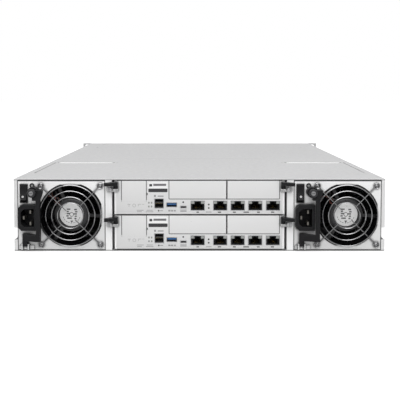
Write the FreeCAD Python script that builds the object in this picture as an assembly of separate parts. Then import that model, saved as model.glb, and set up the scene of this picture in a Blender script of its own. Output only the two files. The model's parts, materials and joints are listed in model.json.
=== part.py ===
import FreeCAD, Part
import math
import os

# Storage array, two rack units high, seen as it stands in a rack.
# +X is to the right as seen from the rear, +Y runs to the drive side, +Z is up.
# The origin is the centre of the chassis's bottom face. Sizes are in millimetres.

os.makedirs("parts", exist_ok=True)
Vector = FreeCAD.Vector

# Rack standard and outer sizes
rack_unit = 44.45
rack_units_high = 2
height_relief = 0.9
rack_hole_spacing = 465.1
rack_hole_inset = 6.35
rack_slot_width = 6.8
rack_slot_length = 10.3
ear_reach = 16.8
ear_sheet = 2.0
chassis_width = 449.0
chassis_depth = 500.0

# Sheet metal and clearances
sheet = 1.2
slide_gap = 0.4
seat_gap = 0.3
face_gap = 0.8

# Bays
disk_length = 147.0
disk_front_setback = 1.5
disk_plug_room = 21.5
module_end_room = 27.6
midplane_thickness = 2.4
power_width = 106.0
divider_width = 8.0
return_flange = 4.2
controller_count = 2
drive_columns = 4
drive_rows = 3

chassis_height = rack_units_high * rack_unit - height_relief
rear = -chassis_depth / 2
front = chassis_depth / 2
side = chassis_width / 2
ear_end = side + ear_reach
cover_bottom = chassis_height - sheet


def point(direction, along, first, second):
    """A point with one coordinate along direction and the other two in X, Y, Z order."""
    if direction == "x":
        return Vector(along, first, second)
    if direction == "y":
        return Vector(first, along, second)
    return Vector(first, second, along)


def prism(direction, start, end, outline):
    """Extrude a closed outline, drawn across direction, from start to end."""
    corners = [point(direction, start, first, second) for first, second in outline]
    face = Part.Face(Part.makePolygon(corners + corners[:1]))
    return face.extrude(point(direction, end - start, 0, 0))


def bar(direction, start, end, first_low, first_high, second_low, second_high):
    """A straight bar of rectangular section."""
    outline = [(first_low, second_low), (first_high, second_low), (first_high, second_high), (first_low, second_high)]
    return prism(direction, start, end, outline)


def rod(direction, start, end, first, second, radius):
    """A round bar, or the tool for a round hole."""
    base = point(direction, start, first, second)
    return Part.makeCylinder(radius, end - start, base, point(direction, 1, 0, 0))


def is_along(edge, direction):
    """Whether an edge is straight and runs along a direction."""
    if edge.Curve.TypeId != "Part::GeomLine":
        return False
    return abs(edge.Curve.Direction.dot(point(direction, 1, 0, 0))) > 0.999


def round_along(body, direction, radius):
    """Round every straight edge that runs along a direction."""
    return body.makeFillet(radius, [edge for edge in body.Edges if is_along(edge, direction)])


def round_bar(direction, start, end, first_low, first_high, second_low, second_high, radius):
    """A bar with its long edges rounded."""
    return round_along(bar(direction, start, end, first_low, first_high, second_low, second_high), direction, radius)


def join(pieces):
    """Fuse overlapping or touching pieces into one solid."""
    return pieces[0].fuse(pieces[1:]).removeSplitter()


def turned(direction, first, second, outline):
    """Revolve an outline of (radius, height along direction) points about an axis."""
    across = "z" if direction == "y" else "x"
    if direction == "x":
        across = "y"
    unit_along = point(direction, 1, 0, 0)
    unit_across = point(across, 1, 0, 0)
    centre = point(direction, 0, first, second)
    corners = [centre + unit_across * radius + unit_along * height for radius, height in outline]
    face = Part.Face(Part.makePolygon(corners + corners[:1]))
    return face.revolve(centre, unit_along, 360)


def save(name, pieces):
    """Write one named sub-part, which may hold several separate solids."""
    solids = [solid for piece in pieces for solid in piece.Solids]
    body = solids[0] if len(solids) == 1 else Part.makeCompound(solids)
    body.exportStep("parts/" + name + ".step")


# Chassis: tub, top cover, dividers, drive cage, midplane and rack ears
seat_flange = 10.0
seat_flange_setback = 8.0
notch_low = 14.3
notch_high = 28.8
notch_depth = 12.0
rib_inner = 127.0
rib_outer = 211.0
rib_width = 3.0
rib_height = 0.6
rib_depth_in = 165.5
groove_side_inset = 10.0
groove_start_in = 53.0
groove_width = 1.2
groove_depth = 0.4
divider_wall = 0.8
controller_pitch = 42.5
ear_leg = 25.0
cage_wall = 1.0
ledge_width = 2.0
ledge_thickness = 1.0
column_pitch = 109.5
row_pitch = 28.2

power_outer = side - return_flange
power_inner = power_outer - power_width
divider_outer = power_inner - slide_gap
divider_inner = divider_outer - divider_width
midplane_front = front - disk_front_setback - disk_length - disk_plug_room
midplane_rear = midplane_front - midplane_thickness
module_depth = midplane_rear - rear - module_end_room
bay_front = midplane_rear
cage_rear = midplane_front
cage_half_width = drive_columns * column_pitch / 2


def chassis_tub():
    """A folded U of sheet with seat flanges for the cover and notched return flanges at the rear."""
    inner = side - sheet
    lip = side - seat_flange
    outline = [(-side, 0), (side, 0), (side, cover_bottom), (lip, cover_bottom)]
    outline += [(lip, cover_bottom - sheet), (inner, cover_bottom - sheet), (inner, sheet)]
    outline += [(-inner, sheet), (-inner, cover_bottom - sheet), (-lip, cover_bottom - sheet)]
    outline += [(-lip, cover_bottom), (-side, cover_bottom)]
    body = prism("y", rear, front, outline)
    for sign in (-1, 1):
        low, high = sorted((sign * (lip - slide_gap), sign * inner))
        setback_end = rear + seat_flange_setback
        body = body.cut(bar("y", rear - sheet, setback_end, low, high, cover_bottom - 2 * sheet, chassis_height))
        ear_rear = front - ear_leg - face_gap
        body = body.cut(bar("y", ear_rear, front + sheet, low, high, cover_bottom - 2 * sheet, chassis_height))
        low, high = sorted((sign * power_outer, sign * inner))
        body = join([body, bar("y", rear, rear + sheet, low, high, sheet, cover_bottom)])
        low, high = sorted((sign * (power_outer - slide_gap), sign * (side + sheet)))
        body = body.cut(bar("y", rear - sheet, rear + notch_depth, low, high, notch_low, notch_high))
    return body


def top_cover():
    """A flat cover with two pressed ribs and a groove beside each side edge."""
    body = bar("y", rear, front, -side, side, cover_bottom, chassis_height)
    rib_rear = rear + rib_depth_in - rib_width / 2
    for sign in (-1, 1):
        low, high = sorted((sign * rib_inner, sign * rib_outer))
        rib = bar("x", low, high, rib_rear, rib_rear + rib_width, chassis_height - groove_depth,
                  chassis_height + rib_height)
        body = join([body, round_along(rib, "z", rib_width / 2 - groove_depth)])
        middle = sign * (side - groove_side_inset)
        groove_end = rear + rib_depth_in
        groove = bar("y", rear + groove_start_in, groove_end, middle - groove_width / 2, middle + groove_width / 2,
                     chassis_height - groove_depth, chassis_height + groove_depth)
        body = body.cut(groove)
    return body


def divider(sign):
    """A channel post between a power bay and the controllers, with holes for the thumbscrews."""
    outline = [(divider_inner, rear), (divider_outer, rear), (divider_outer, bay_front)]
    outline += [(divider_outer - divider_wall, bay_front), (divider_outer - divider_wall, rear + divider_wall)]
    outline += [(divider_inner + divider_wall, rear + divider_wall), (divider_inner + divider_wall, bay_front)]
    outline += [(divider_inner, bay_front)]
    post = prism("z", sheet, cover_bottom, [(sign * first, second) for first, second in outline])
    for floor in controller_floors.values():
        height = floor + plate_lift + screw_height
        post = post.cut(rod("y", rear - sheet, rear + sheet, sign * screw_place, height,
                            screw_shank_radius + running_gap))
    return post


def controller_shelf(level):
    """The sheet that carries an upper controller, held between the two dividers."""
    top = sheet + level * controller_pitch
    return bar("y", rear + cover_flange + face_gap, bay_front, -divider_inner, divider_inner, top - sheet, top)


def column_wall(place, has_left, has_right):
    """A wall of the drive cage with a guide ledge under each carrier rail."""
    half = cage_wall / 2
    wall_top = cover_bottom if has_left and has_right else cover_bottom - sheet
    outline = [(place - half, sheet), (place + half, sheet)]
    if has_right:
        outline = [(place - half, sheet), (place + half + ledge_width, sheet)]
        for row in range(drive_rows):
            top = sheet + row * row_pitch + ledge_thickness
            if row > 0:
                outline += [(place + half, top - ledge_thickness), (place + half + ledge_width, top - ledge_thickness)]
            outline += [(place + half + ledge_width, top), (place + half, top)]
    outline += [(place + half, wall_top), (place - half, wall_top)]
    if has_left:
        for row in reversed(range(drive_rows)):
            top = sheet + row * row_pitch + ledge_thickness
            outline += [(place - half, top), (place - half - ledge_width, top)]
            outline += [(place - half - ledge_width, top - ledge_thickness)]
            if row > 0:
                outline += [(place - half, top - ledge_thickness)]
        outline = outline[1:]
    return prism("y", cage_rear, front - cage_wall, outline)


def drive_cage():
    """The walls between and beside the drive columns."""
    walls = []
    for index in range(drive_columns + 1):
        place = index * column_pitch - cage_half_width
        walls.append(column_wall(place, index > 0, index < drive_columns))
    return walls


def rack_ear(sign):
    """An angle at the front corner with two horizontal slots for the rack's screws."""
    leg_inner = side - sheet - ear_sheet
    outline = [(leg_inner, front - ear_leg), (side - sheet, front - ear_leg), (side - sheet, front)]
    outline += [(ear_end, front), (ear_end, front + ear_sheet), (leg_inner, front + ear_sheet)]
    ear = prism("z", sheet, cover_bottom, [(sign * first, second) for first, second in outline])
    flange_low, flange_high = sorted((sign * side, sign * ear_end))
    for low, high in ((0, sheet), (cover_bottom, chassis_height)):
        ear = join([ear, bar("y", front, front + ear_sheet, flange_low, flange_high, low, high)])
    hole = sign * rack_hole_spacing / 2
    reach = (rack_slot_length - rack_slot_width) / 2
    low_hole = rack_hole_inset - height_relief / 2
    for height in (low_hole, chassis_height - low_hole):
        for shift in (-reach, reach):
            ear = ear.cut(rod("y", front - sheet, front + 2 * ear_sheet, hole + shift, height, rack_slot_width / 2))
        ear = ear.cut(bar("y", front - sheet, front + 2 * ear_sheet, hole - reach, hole + reach,
                          height - rack_slot_width / 2, height + rack_slot_width / 2))
    return ear


# Midplane board and its connectors
disk_width = 101.6
disk_height = 26.1
board_edge_gap = 1.0
vent_width = 48.0
vent_height = 16.0
vent_shift = 18.0
disk_plug_width = 33.0
disk_plug_height = 6.0
disk_plug_shift = -28.0
module_socket_length = 12.0
module_socket_height = 10.0
controller_socket_width = 80.0
power_socket_width = 46.0
socket_lift = 9.0

disk_rear = front - disk_front_setback - disk_length
ledge_top = sheet + ledge_thickness
disk_bottom = ledge_top + seat_gap
module_width = power_width - slide_gap
power_lefts = {"left": slide_gap - power_outer, "right": power_inner}
controller_floors = {"lower": sheet, "upper": sheet + controller_pitch}


def column_centre(column):
    """The X of a drive column's middle."""
    return (column + 0.5) * column_pitch - cage_half_width


def midplane_board():
    """The board across the chassis, with air holes, a socket for each disk and one for each module."""
    board_half = side - sheet - board_edge_gap
    board = bar("y", midplane_rear, midplane_front, -board_half, board_half, sheet, cover_bottom - sheet - board_edge_gap)
    sockets = []
    for column in range(drive_columns):
        for row in range(drive_rows):
            height = disk_bottom + row * row_pitch + disk_height / 2
            middle = column_centre(column)
            vent_low = middle + vent_shift - vent_width / 2
            hole = bar("y", midplane_rear - sheet, midplane_front + sheet, vent_low, vent_low + vent_width,
                       height - vent_height / 2, height + vent_height / 2)
            board = board.cut(hole)
            plug_low = middle + disk_plug_shift - disk_plug_width / 2
            sockets.append(bar("y", midplane_front, disk_rear - seat_gap, plug_low, plug_low + disk_plug_width,
                               height - disk_plug_height / 2, height + disk_plug_height / 2))
    socket_rear = midplane_rear - module_socket_length
    for floor in controller_floors.values():
        half = controller_socket_width / 2
        sockets.append(bar("y", socket_rear, midplane_rear, -half, half, floor + socket_lift,
                           floor + socket_lift + module_socket_height))
    for left in power_lefts.values():
        low = left + (module_width - power_socket_width) / 2
        sockets.append(bar("y", socket_rear, midplane_rear, low, low + power_socket_width, sheet + socket_lift,
                           sheet + socket_lift + module_socket_height))
    return [board] + sockets


# Controllers: faceplate, tray, circuit board, covers, levers and thumbscrews
controller_side_gap = 3.1
controller_half = divider_inner - controller_side_gap
plate_lift = 1.7
plate_height = 40.7
tray_wall_height = 37.0
tray_floor_setback = 8.0
tray_side_inset = 1.0
standoff_radius = 2.5
standoff_inset = 12.0
board_thickness = 1.6
port_line = 4.4
panel_gap = 0.3
battery_low = -94.05
battery_high = -64.5
battery_bottom = 15.4
blank_low = -36.6
blank_high = 96.6
blank_bottom = 18.6
blank_split = 33.1
blank_split_width = 1.6
cover_flange = 9.0
finger_notch_radius = 1.6
finger_notch_height = 24.5
network_centres = [-2.2, 25.1, 46.3, 67.5, 89.0]
network_width = 17.4
network_height = 12.0
network_depth = 18.0
socket_wall = 2.6
socket_floor = 1.8
socket_height = 5.6
socket_shoulder = 6.4
socket_latch = 3.4
latch_step = 1.6
storage_port = (-54.7, -43.1, 6.9, 18.9)
usb_port = (-40.0, -27.2, 8.4, 14.05)
small_port = (-23.3, -15.6, 7.0, 10.05)
port_shell = 0.8
port_depth = 14.0
tongue_thickness = 2.0
heat_sink_width = 70.0
heat_sink_length = 80.0
heat_sink_centre = (20.0, -95.0)
heat_sink_base = 4.0
heat_sink_top = 29.0
fin_count = 10
fin_thickness = 2.0
memory_length = 133.0
memory_height = 28.0
memory_thickness = 3.0
memory_places = [-78.0, -66.0]

tray_half = controller_half - tray_side_inset
tray_bottom = seat_gap
board_top = plate_lift + port_line
board_bottom = board_top - board_thickness
controller_front = rear + module_depth
plate_inside = rear + sheet


def above(places, base):
    """Lift a (low X, high X, low height, high height) place from the faceplate's lower edge to its real height."""
    low, high, bottom, top = places
    return low, high, base + bottom, base + top


def hex_post(start, end, across, along, radius):
    """An upright six-sided standoff."""
    corners = []
    for index in range(6):
        angle = index * math.pi / 3
        corners.append((across + radius * math.cos(angle), along + radius * math.sin(angle)))
    return prism("z", start, end, corners)


def controller_tray(floor):
    """A shallow tray with its faceplate, which is notched for the covers and pierced for the ports."""
    base = floor + plate_lift
    top = base + plate_height
    blank_foot = base + blank_bottom - panel_gap
    outline = [(-controller_half, base), (controller_half, base), (controller_half, top), (blank_high + panel_gap, top)]
    outline += [(blank_high + panel_gap, blank_foot), (blank_low - panel_gap, blank_foot), (blank_low - panel_gap, top)]
    outline += [(battery_high + panel_gap, top), (battery_high + panel_gap, base + battery_bottom - panel_gap)]
    outline += [(battery_low - panel_gap, base + battery_bottom - panel_gap), (battery_low - panel_gap, top)]
    outline += [(-controller_half, top)]
    body = prism("y", rear, plate_inside, outline)
    wall_top = floor + tray_wall_height
    low = floor + tray_bottom
    inner = tray_half - sheet
    folded = [(-tray_half, low), (tray_half, low), (tray_half, wall_top), (inner, wall_top), (inner, low + sheet)]
    folded += [(-inner, low + sheet), (-inner, wall_top), (-tray_half, wall_top)]
    shell = prism("y", plate_inside, controller_front, folded)
    floor_cut = bar("y", plate_inside - sheet, rear + tray_floor_setback, -inner, inner, floor, low + 2 * sheet)
    pieces = [body, shell.cut(floor_cut)]
    posts = (rear + standoff_inset, controller_front - standoff_inset)
    for across in (-inner + standoff_inset, inner - standoff_inset):
        for along in posts:
            pieces.append(hex_post(low, floor + board_bottom, across, along, standoff_radius))
    body = join(pieces)
    for place in (storage_port, usb_port, small_port):
        body = body.cut(bar("y", rear - sheet, plate_inside + sheet, *above(place, base)))
    for centre in network_centres:
        half = network_width / 2
        hole = above((centre - half, centre + half, port_line, port_line + network_height), base)
        body = body.cut(bar("y", rear - sheet, plate_inside + sheet, *hole))
    notch = rod("y", rear - sheet, plate_inside + sheet, battery_high + panel_gap, base + finger_notch_height,
                finger_notch_radius)
    return body.cut(notch)


def network_jack(centre, base):
    """A network socket: a shell with a stepped opening whose latch channel is at the top."""
    half = network_width / 2 - panel_gap
    low = base + port_line
    shell = bar("y", rear + panel_gap, rear + network_depth, centre - half, centre + half, low,
                low + network_height - panel_gap)
    wide = half - socket_wall
    floor = low + socket_floor
    step = floor + socket_height
    hollow = [(centre - wide, floor), (centre + wide, floor), (centre + wide, step)]
    for reach in (socket_shoulder / 2, socket_latch / 2):
        hollow += [(centre + reach, step), (centre + reach, step + latch_step)]
        step += latch_step
    hollow += [(2 * centre - across, height) for across, height in reversed(hollow[2:])]
    return shell.cut(prism("y", rear, rear + port_depth, hollow))


def port_block(place, base):
    """A connector shell behind its hole in the faceplate, with a tongue inside."""
    low, high, bottom, top = above(place, base)
    block = bar("y", plate_inside + panel_gap, plate_inside + network_depth, low - port_shell, high + port_shell,
                base + port_line, top + port_shell)
    hollow = bar("y", rear, rear + port_depth, low, high, bottom, top)
    middle = (bottom + top) / 2
    thickness = min(tongue_thickness, (top - bottom) / 3)
    tongue = bar("y", plate_inside + 2 * panel_gap, rear + port_depth, low + port_shell, high - port_shell,
                 middle - thickness / 2, middle + thickness / 2)
    return join([block.cut(hollow), tongue])


def heat_sink(base):
    """A finned heat sink, drawn as a comb and extruded along the air flow."""
    middle, along = heat_sink_centre
    low = middle - heat_sink_width / 2
    pitch = (heat_sink_width - fin_thickness) / (fin_count - 1)
    outline = [(low + heat_sink_width, base), (low, base)]
    for index in range(fin_count):
        fin = low + index * pitch
        outline += [(fin, base + heat_sink_top), (fin + fin_thickness, base + heat_sink_top)]
        if index < fin_count - 1:
            outline += [(fin + fin_thickness, base + heat_sink_base), (fin + pitch, base + heat_sink_base)]
    return prism("y", along - heat_sink_length / 2, along + heat_sink_length / 2, outline)


def controller_board(floor):
    """The circuit board with its ports, heat sink, memory modules and midplane plug, each its own solid."""
    base = floor + plate_lift
    inner = tray_half - sheet - panel_gap
    top = floor + board_top
    board = bar("z", floor + board_bottom, top, -inner, inner, plate_inside + panel_gap, controller_front)
    pieces = [board]
    pieces += [network_jack(centre, base) for centre in network_centres]
    pieces += [port_block(place, base) for place in (storage_port, usb_port, small_port)]
    pieces.append(heat_sink(top))
    sink_rear = heat_sink_centre[1] - heat_sink_length / 2
    for across in memory_places:
        pieces.append(bar("y", sink_rear, sink_rear + memory_length, across, across + memory_thickness, top,
                          top + memory_height))
    half = controller_socket_width / 2
    plug_bottom = floor + socket_lift
    plug = [(controller_front - port_depth, top), (controller_front, top), (controller_front, plug_bottom)]
    plug_front = midplane_rear - module_socket_length - seat_gap
    plug += [(plug_front, plug_bottom), (plug_front, plug_bottom + module_socket_height)]
    plug += [(controller_front - port_depth, plug_bottom + module_socket_height)]
    pieces.append(prism("x", -half, half, plug))
    return pieces


def panel_cover(low, high, bottom, base):
    """A removable cover folded from sheet, flush with the faceplate, with its edges turned in."""
    top = base + plate_height
    foot = base + bottom
    outline = [(rear, foot), (rear, top), (rear + cover_flange, top), (rear + cover_flange, top - sheet)]
    outline += [(plate_inside, top - sheet), (plate_inside, foot + sheet), (rear + cover_flange, foot + sheet)]
    outline += [(rear + cover_flange, foot)]
    return prism("x", low, high, outline)


def controller_covers(floor):
    """The battery cover and the two blank covers of the expansion slots."""
    base = floor + plate_lift
    battery = panel_cover(battery_low, battery_high, battery_bottom, base)
    half_split = blank_split_width / 2
    first = panel_cover(blank_low, blank_split - half_split, blank_bottom, base)
    second = panel_cover(blank_split + half_split, blank_high, blank_bottom, base)
    return [battery, first, second]


# Controller levers and their thumbscrews, which hold on the divider posts
lever_inset = 1.9
lever_pivot = controller_half - lever_inset
lever_proud = 3.4
knuckle_radius = 2.6
pin_radius = 1.2
running_gap = 0.05
lever_low = 31.5
lever_bar_low = 35.7
lever_top = 39.7
lever_tip = 113.5
lever_reach = 13.5
lever_thickness = 3.6
ear_plate_thickness = 1.5
screw_inset = 2.2
screw_place = divider_inner + screw_inset
screw_height = 31.2
screw_head_radius = 3.2
screw_head_length = 7.0
screw_shank_radius = 1.25
screw_shank_length = 7.0
screw_chamfer_share = 0.15
screw_neck_share = 0.25
screw_slot_width = 0.8
screw_tab_low = 27.5
screw_tab_high = 34.6
screw_tab_reach = 111.6
screw_tab_thickness = 1.0


def lever_mount(sign, floor):
    """The faceplate's ear with the lever's pin, and the tab that the thumbscrew goes through."""
    base = floor + plate_lift
    ear_top = base + lever_low - seat_gap
    pivot = sign * lever_pivot
    low, high = sorted((sign * (lever_pivot - knuckle_radius), sign * (lever_pivot + knuckle_radius)))
    ear = bar("z", ear_top - ear_plate_thickness, ear_top, low, high, rear - lever_proud - pin_radius, rear)
    pin = rod("z", ear_top - ear_plate_thickness, base + lever_top - seat_gap, pivot, rear - lever_proud, pin_radius)
    inner = lever_pivot - knuckle_radius
    step = lever_pivot + knuckle_radius + seat_gap
    tab_rear = rear - seat_gap - screw_tab_thickness
    outline = [(inner, base + screw_tab_low), (screw_tab_reach, base + screw_tab_low)]
    outline += [(screw_tab_reach, base + screw_tab_high), (step, base + screw_tab_high), (step, ear_top), (inner, ear_top)]
    tab = prism("y", tab_rear, rear - seat_gap, [(sign * first, second) for first, second in outline])
    foot_span = sorted((sign * inner, sign * controller_half))
    foot = bar("y", rear - seat_gap, rear, *foot_span, base + screw_tab_low, ear_top)
    hole = rod("y", tab_rear - sheet, rear, sign * screw_place, base + screw_height, screw_shank_radius + seat_gap)
    return [ear, pin, tab.cut(hole), foot]


def lever_handle(sign, floor):
    """A black lever: a knuckle round the pin and a bar that reaches out over the divider post."""
    base = floor + plate_lift
    pivot_y = rear - lever_proud
    pivot = sign * lever_pivot
    knuckle = rod("z", base + lever_low, base + lever_top, pivot, pivot_y, knuckle_radius)
    tip = lever_tip - lever_thickness / 2
    tip_y = rear - lever_reach + lever_thickness / 2
    outline = [(lever_pivot - knuckle_radius, pivot_y), (lever_pivot - knuckle_radius, pivot_y - lever_thickness)]
    half = lever_thickness / 2
    outline += [(tip - lever_thickness, tip_y - half), (tip + half, tip_y - half)]
    outline += [(tip + half, tip_y + half), (lever_pivot + knuckle_radius, pivot_y)]
    arm = prism("z", base + lever_bar_low, base + lever_top, [(sign * first, second) for first, second in outline])
    body = join([knuckle, arm])
    bore = rod("z", base + lever_low - seat_gap, base + lever_top + seat_gap, pivot, pivot_y, pin_radius + running_gap)
    return body.cut(bore)


def thumbscrew(across, height, face, head_radius, head_length, shank_radius, shank_length):
    """A captive screw with a waisted, slotted head that points to the rear."""
    head_rear = face - head_length
    chamfer = head_radius * screw_chamfer_share
    waist = head_radius - chamfer
    neck = face - head_length * screw_neck_share
    outline = [(0, head_rear), (head_radius - chamfer, head_rear), (head_radius, head_rear + chamfer)]
    outline += [(head_radius, neck - chamfer), (waist, neck), (waist, face)]
    outline += [(shank_radius, face), (shank_radius, face + shank_length), (0, face + shank_length)]
    body = turned("y", across, height, outline)
    half = screw_slot_width / 2
    slot = bar("y", head_rear - half, head_rear + screw_slot_width, across - half, across + half,
               height - head_radius, height + head_radius)
    return body.cut(slot)


def controller_screw(sign, floor):
    """The silver screw that holds a controller lever's side to the divider post."""
    face = rear - 2 * seat_gap - screw_tab_thickness
    height = floor + plate_lift + screw_height
    return thumbscrew(sign * screw_place, height, face, screw_head_radius, screw_head_length, screw_shank_radius,
                      screw_shank_length)


# Power and cooling modules
case_wall = 1.0
case_side_inset = 0.5
power_plate_low = 2.4
power_plate_high = 85.8
case_top_gap = 0.3
fan_across = 64.0
fan_height = 44.0
fan_size = 80.0
fan_depth = 38.0
fan_screw_pitch = 71.5
fan_bore_radius = 38.2
fan_hole_radius = 39.5
fan_hole_flat = 37.3
stator_setback = 5.0
stator_thickness = 5.0
stator_radius = 20.6
label_radius = 14.9
label_recess = 0.5
strut_count = 3
strut_width = 4.0
strut_thickness = 3.0
strut_first_angle = -4.0
hub_radius = 19.0
hub_gap = 1.0
blade_count = 7
blade_tip_radius = 37.2
blade_thickness = 1.6
blade_root_sink = 1.5
blade_root_angle = 48.0
blade_tip_angle = 28.0
blade_root_chord = 19.0
blade_tip_chord = 27.0
blade_sweep_angle = 16.0
shaft_radius = 2.0
guard_ring_radii = [15.5, 23.0, 30.0, 37.0]
guard_wire = 0.8
guard_loop_radius = 3.2
guard_gap = 0.1
light_ring = (17.6, 79.8)
light_ring_radius = 3.1
light_radius = 1.25
inlet_low = 1.7
inlet_high = 24.5
inlet_bottom = 26.2
inlet_top = 57.3
inlet_proud = 6.3
inlet_chamfer = 4.0
inlet_wall = 3.3
inlet_end_wall = 4.6
inlet_depth = 24.0
inlet_cavity_depth = 17.0
cavity_chamfer = 4.2
pin_blade_width = 4.0
pin_blade_thickness = 2.0
pin_length = 15.0
pin_places = [(8.3, 0.0), (16.3, 7.0), (16.3, -7.0)]
rocker_across = 7.6
switch_above_inlet = 2.0
rocker_half_width = 3.35
rocker_half_length = 9.0
rocker_rise = 5.8
rocker_tilt = 12.0
rocker_pivot_depth = 2.6
rocker_dish = 1.6
rocker_belly = 3.6
switch_wall = 1.0
switch_depth = 14.0
switch_lip = 1.0
stub_radius = 1.2
vent_slots = 5
vent_slot_width = 6.0
vent_slot_low = 34.0
handle_hinge = (9.3, 8.6)
handle_hinge_proud = 2.6
handle_pin_radius = 1.0
handle_knuckle_radius = 2.2
handle_knuckle_width = 5.4
bracket_ear = 1.5
bracket_low = 1.8
bracket_high = 19.6
bracket_bottom = 2.7
bracket_top = 7.2
handle_foot_bottom = 14.0
handle_foot_top = 22.0
handle_arm_low = 24.9
handle_arm_high = 29.6
handle_arm_top = 64.0
handle_proud = 12.0
handle_thickness = 5.5
handle_screw = (20.6, 73.1)
handle_screw_shank = 1.8
handle_boss_radius = 6.4
handle_boss_proud = 10.0
handle_boss_back = 2.2
handle_corner = 3.0
knob_radius = 5.0
knob_length = 6.5


rocker_lean = math.radians(rocker_tilt)
rocker_reach = rocker_half_length * math.cos(rocker_lean) + rocker_rise * math.sin(rocker_lean)
well_reach = rocker_reach + seat_gap
rocker_height = inlet_top + switch_above_inlet + switch_wall + well_reach


def case_span(left):
    """The X of a power case's two side walls."""
    return left + case_side_inset, left + module_width - case_side_inset


def fan_opening(left, start, end):
    """The tool for the fan's hole: a circle with its four sides flattened."""
    middle = left + fan_across
    disc = rod("y", start, end, middle, fan_height, fan_hole_radius)
    flats = bar("y", start, end, middle - fan_hole_flat, middle + fan_hole_flat, fan_height - fan_hole_flat,
                fan_height + fan_hole_flat)
    return disc.common(flats)


def power_case(left):
    """A sheet case with its faceplate, end wall and midplane plug, and the hinge bracket of the handle."""
    low, high = case_span(left)
    bottom = sheet + seat_gap
    top = cover_bottom - sheet - case_top_gap
    case_end = rear + module_depth
    shell = bar("y", plate_inside, case_end, low, high, bottom, top)
    hollow = bar("y", plate_inside - sheet, case_end - case_wall, low + case_wall, high - case_wall,
                 bottom + case_wall, top - case_wall)
    plate = bar("y", rear, plate_inside, left, left + module_width, power_plate_low, power_plate_high)
    plug_low = left + (module_width - power_socket_width) / 2
    plug_front = midplane_rear - module_socket_length - seat_gap
    plug = bar("y", case_end - case_wall, plug_front, plug_low, plug_low + power_socket_width, sheet + socket_lift,
               sheet + socket_lift + module_socket_height)
    body = join([shell.cut(hollow), plate, plug] + handle_bracket(left))
    body = body.cut(fan_opening(left, rear - sheet, plate_inside + sheet))
    inlet_hole = bar("y", rear - sheet, plate_inside + sheet, left + inlet_low + case_wall, left + inlet_high - case_wall,
                     inlet_bottom + case_wall, inlet_top - case_wall)
    half = rocker_half_width + seat_gap + switch_wall + running_gap
    reach = well_reach + switch_wall + running_gap
    switch_hole = bar("y", rear - sheet, plate_inside + sheet, left + rocker_across - half, left + rocker_across + half,
                      rocker_height - reach, rocker_height + reach)
    ring_hole = rod("y", rear - sheet, plate_inside + sheet, left + light_ring[0], light_ring[1], light_ring_radius)
    screw_hole = rod("y", rear - sheet, plate_inside + sheet, left + handle_screw[0], handle_screw[1],
                     handle_screw_shank + running_gap)
    for hole in (inlet_hole, switch_hole, ring_hole, screw_hole):
        body = body.cut(hole)
    vent_pitch = module_width / (vent_slots + 1)
    for index in range(1, vent_slots + 1):
        middle = left + index * vent_pitch
        slot = bar("y", case_end - 2 * case_wall, case_end + case_wall, middle - vent_slot_width / 2,
                   middle + vent_slot_width / 2, vent_slot_low, top - 4 * case_wall)
        body = body.cut(slot)
    return body


def fan_frame(left):
    """The fan's square housing and its motor base, held by struts, with a recess for the motor's label."""
    middle = left + fan_across
    half = fan_size / 2
    start = plate_inside
    end = start + fan_depth
    housing = round_bar("y", start, end, middle - half, middle + half, fan_height - half, fan_height + half, switch_wall)
    housing = housing.cut(rod("y", start - sheet, end + sheet, middle, fan_height, fan_bore_radius))
    base_start = rear + stator_setback
    base_end = base_start + stator_thickness
    motor = rod("y", base_start, base_end, middle, fan_height, stator_radius)
    struts = []
    for index in range(strut_count):
        strut = bar("y", base_end - strut_thickness, base_end, middle + label_radius,
                    middle + fan_bore_radius + switch_wall,
                    fan_height - strut_width / 2, fan_height + strut_width / 2)
        angle = -strut_first_angle - 360 * index / strut_count
        strut.rotate(Vector(middle, 0, fan_height), Vector(0, 1, 0), angle)
        struts.append(strut)
    body = join([housing, motor] + struts)
    body = body.cut(rod("y", base_start - sheet, base_start + label_recess, middle, fan_height, label_radius))
    return body.cut(rod("y", base_start + label_recess, base_end + sheet, middle, fan_height, shaft_radius + running_gap))


def fan_blade(middle, start):
    """One twisted, swept blade, lofted between its root and its tip."""
    sections = []
    steps = ((hub_radius - blade_root_sink, blade_root_angle, blade_root_chord, 0),
             (blade_tip_radius, blade_tip_angle, blade_tip_chord, blade_sweep_angle))
    for radius, angle, chord, sweep in steps:
        lean = math.radians(angle)
        turn = math.radians(sweep)
        along = Vector(-math.sin(turn), 0, math.cos(turn))
        outward = Vector(math.cos(turn), 0, math.sin(turn))
        centre = Vector(middle, start, fan_height) + outward * radius
        run = along * math.cos(lean) + Vector(0, math.sin(lean), 0)
        normal = along * -math.sin(lean) + Vector(0, math.cos(lean), 0)
        half = blade_thickness / 2
        corners = [centre - run * (chord / 2) - normal * half, centre + run * (chord / 2) - normal * half,
                   centre + run * (chord / 2) + normal * half, centre - run * (chord / 2) + normal * half]
        sections.append(Part.makePolygon(corners + corners[:1]))
    return Part.makeLoft(sections, True, True)


def fan_rotor(left):
    """The hub cup with its shaft and seven blades."""
    middle = left + fan_across
    start = rear + stator_setback + stator_thickness + hub_gap
    end = plate_inside + fan_depth - hub_gap
    hub = rod("y", start, end, middle, fan_height, hub_radius)
    shaft = rod("y", rear + stator_setback + label_recess + hub_gap, start, middle, fan_height, shaft_radius)
    blades = []
    for index in range(blade_count):
        blade = fan_blade(middle, (start + end) / 2)
        blade.rotate(Vector(middle, 0, fan_height), Vector(0, 1, 0), 360 * index / blade_count)
        blades.append(blade)
    limit = rod("y", start, end, middle, fan_height, blade_tip_radius)
    return join([hub, shaft] + blades).common(join([limit, shaft]))


def wire_ring(across, height, radius, depth):
    """A closed ring of guard wire, revolved from the wire's flattened section."""
    inner = radius - guard_wire
    outer = radius + guard_wire
    near = depth - guard_wire
    far = depth + guard_wire
    return turned("y", across, height, [(inner, near), (outer, near), (outer, far), (inner, far)])


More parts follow.
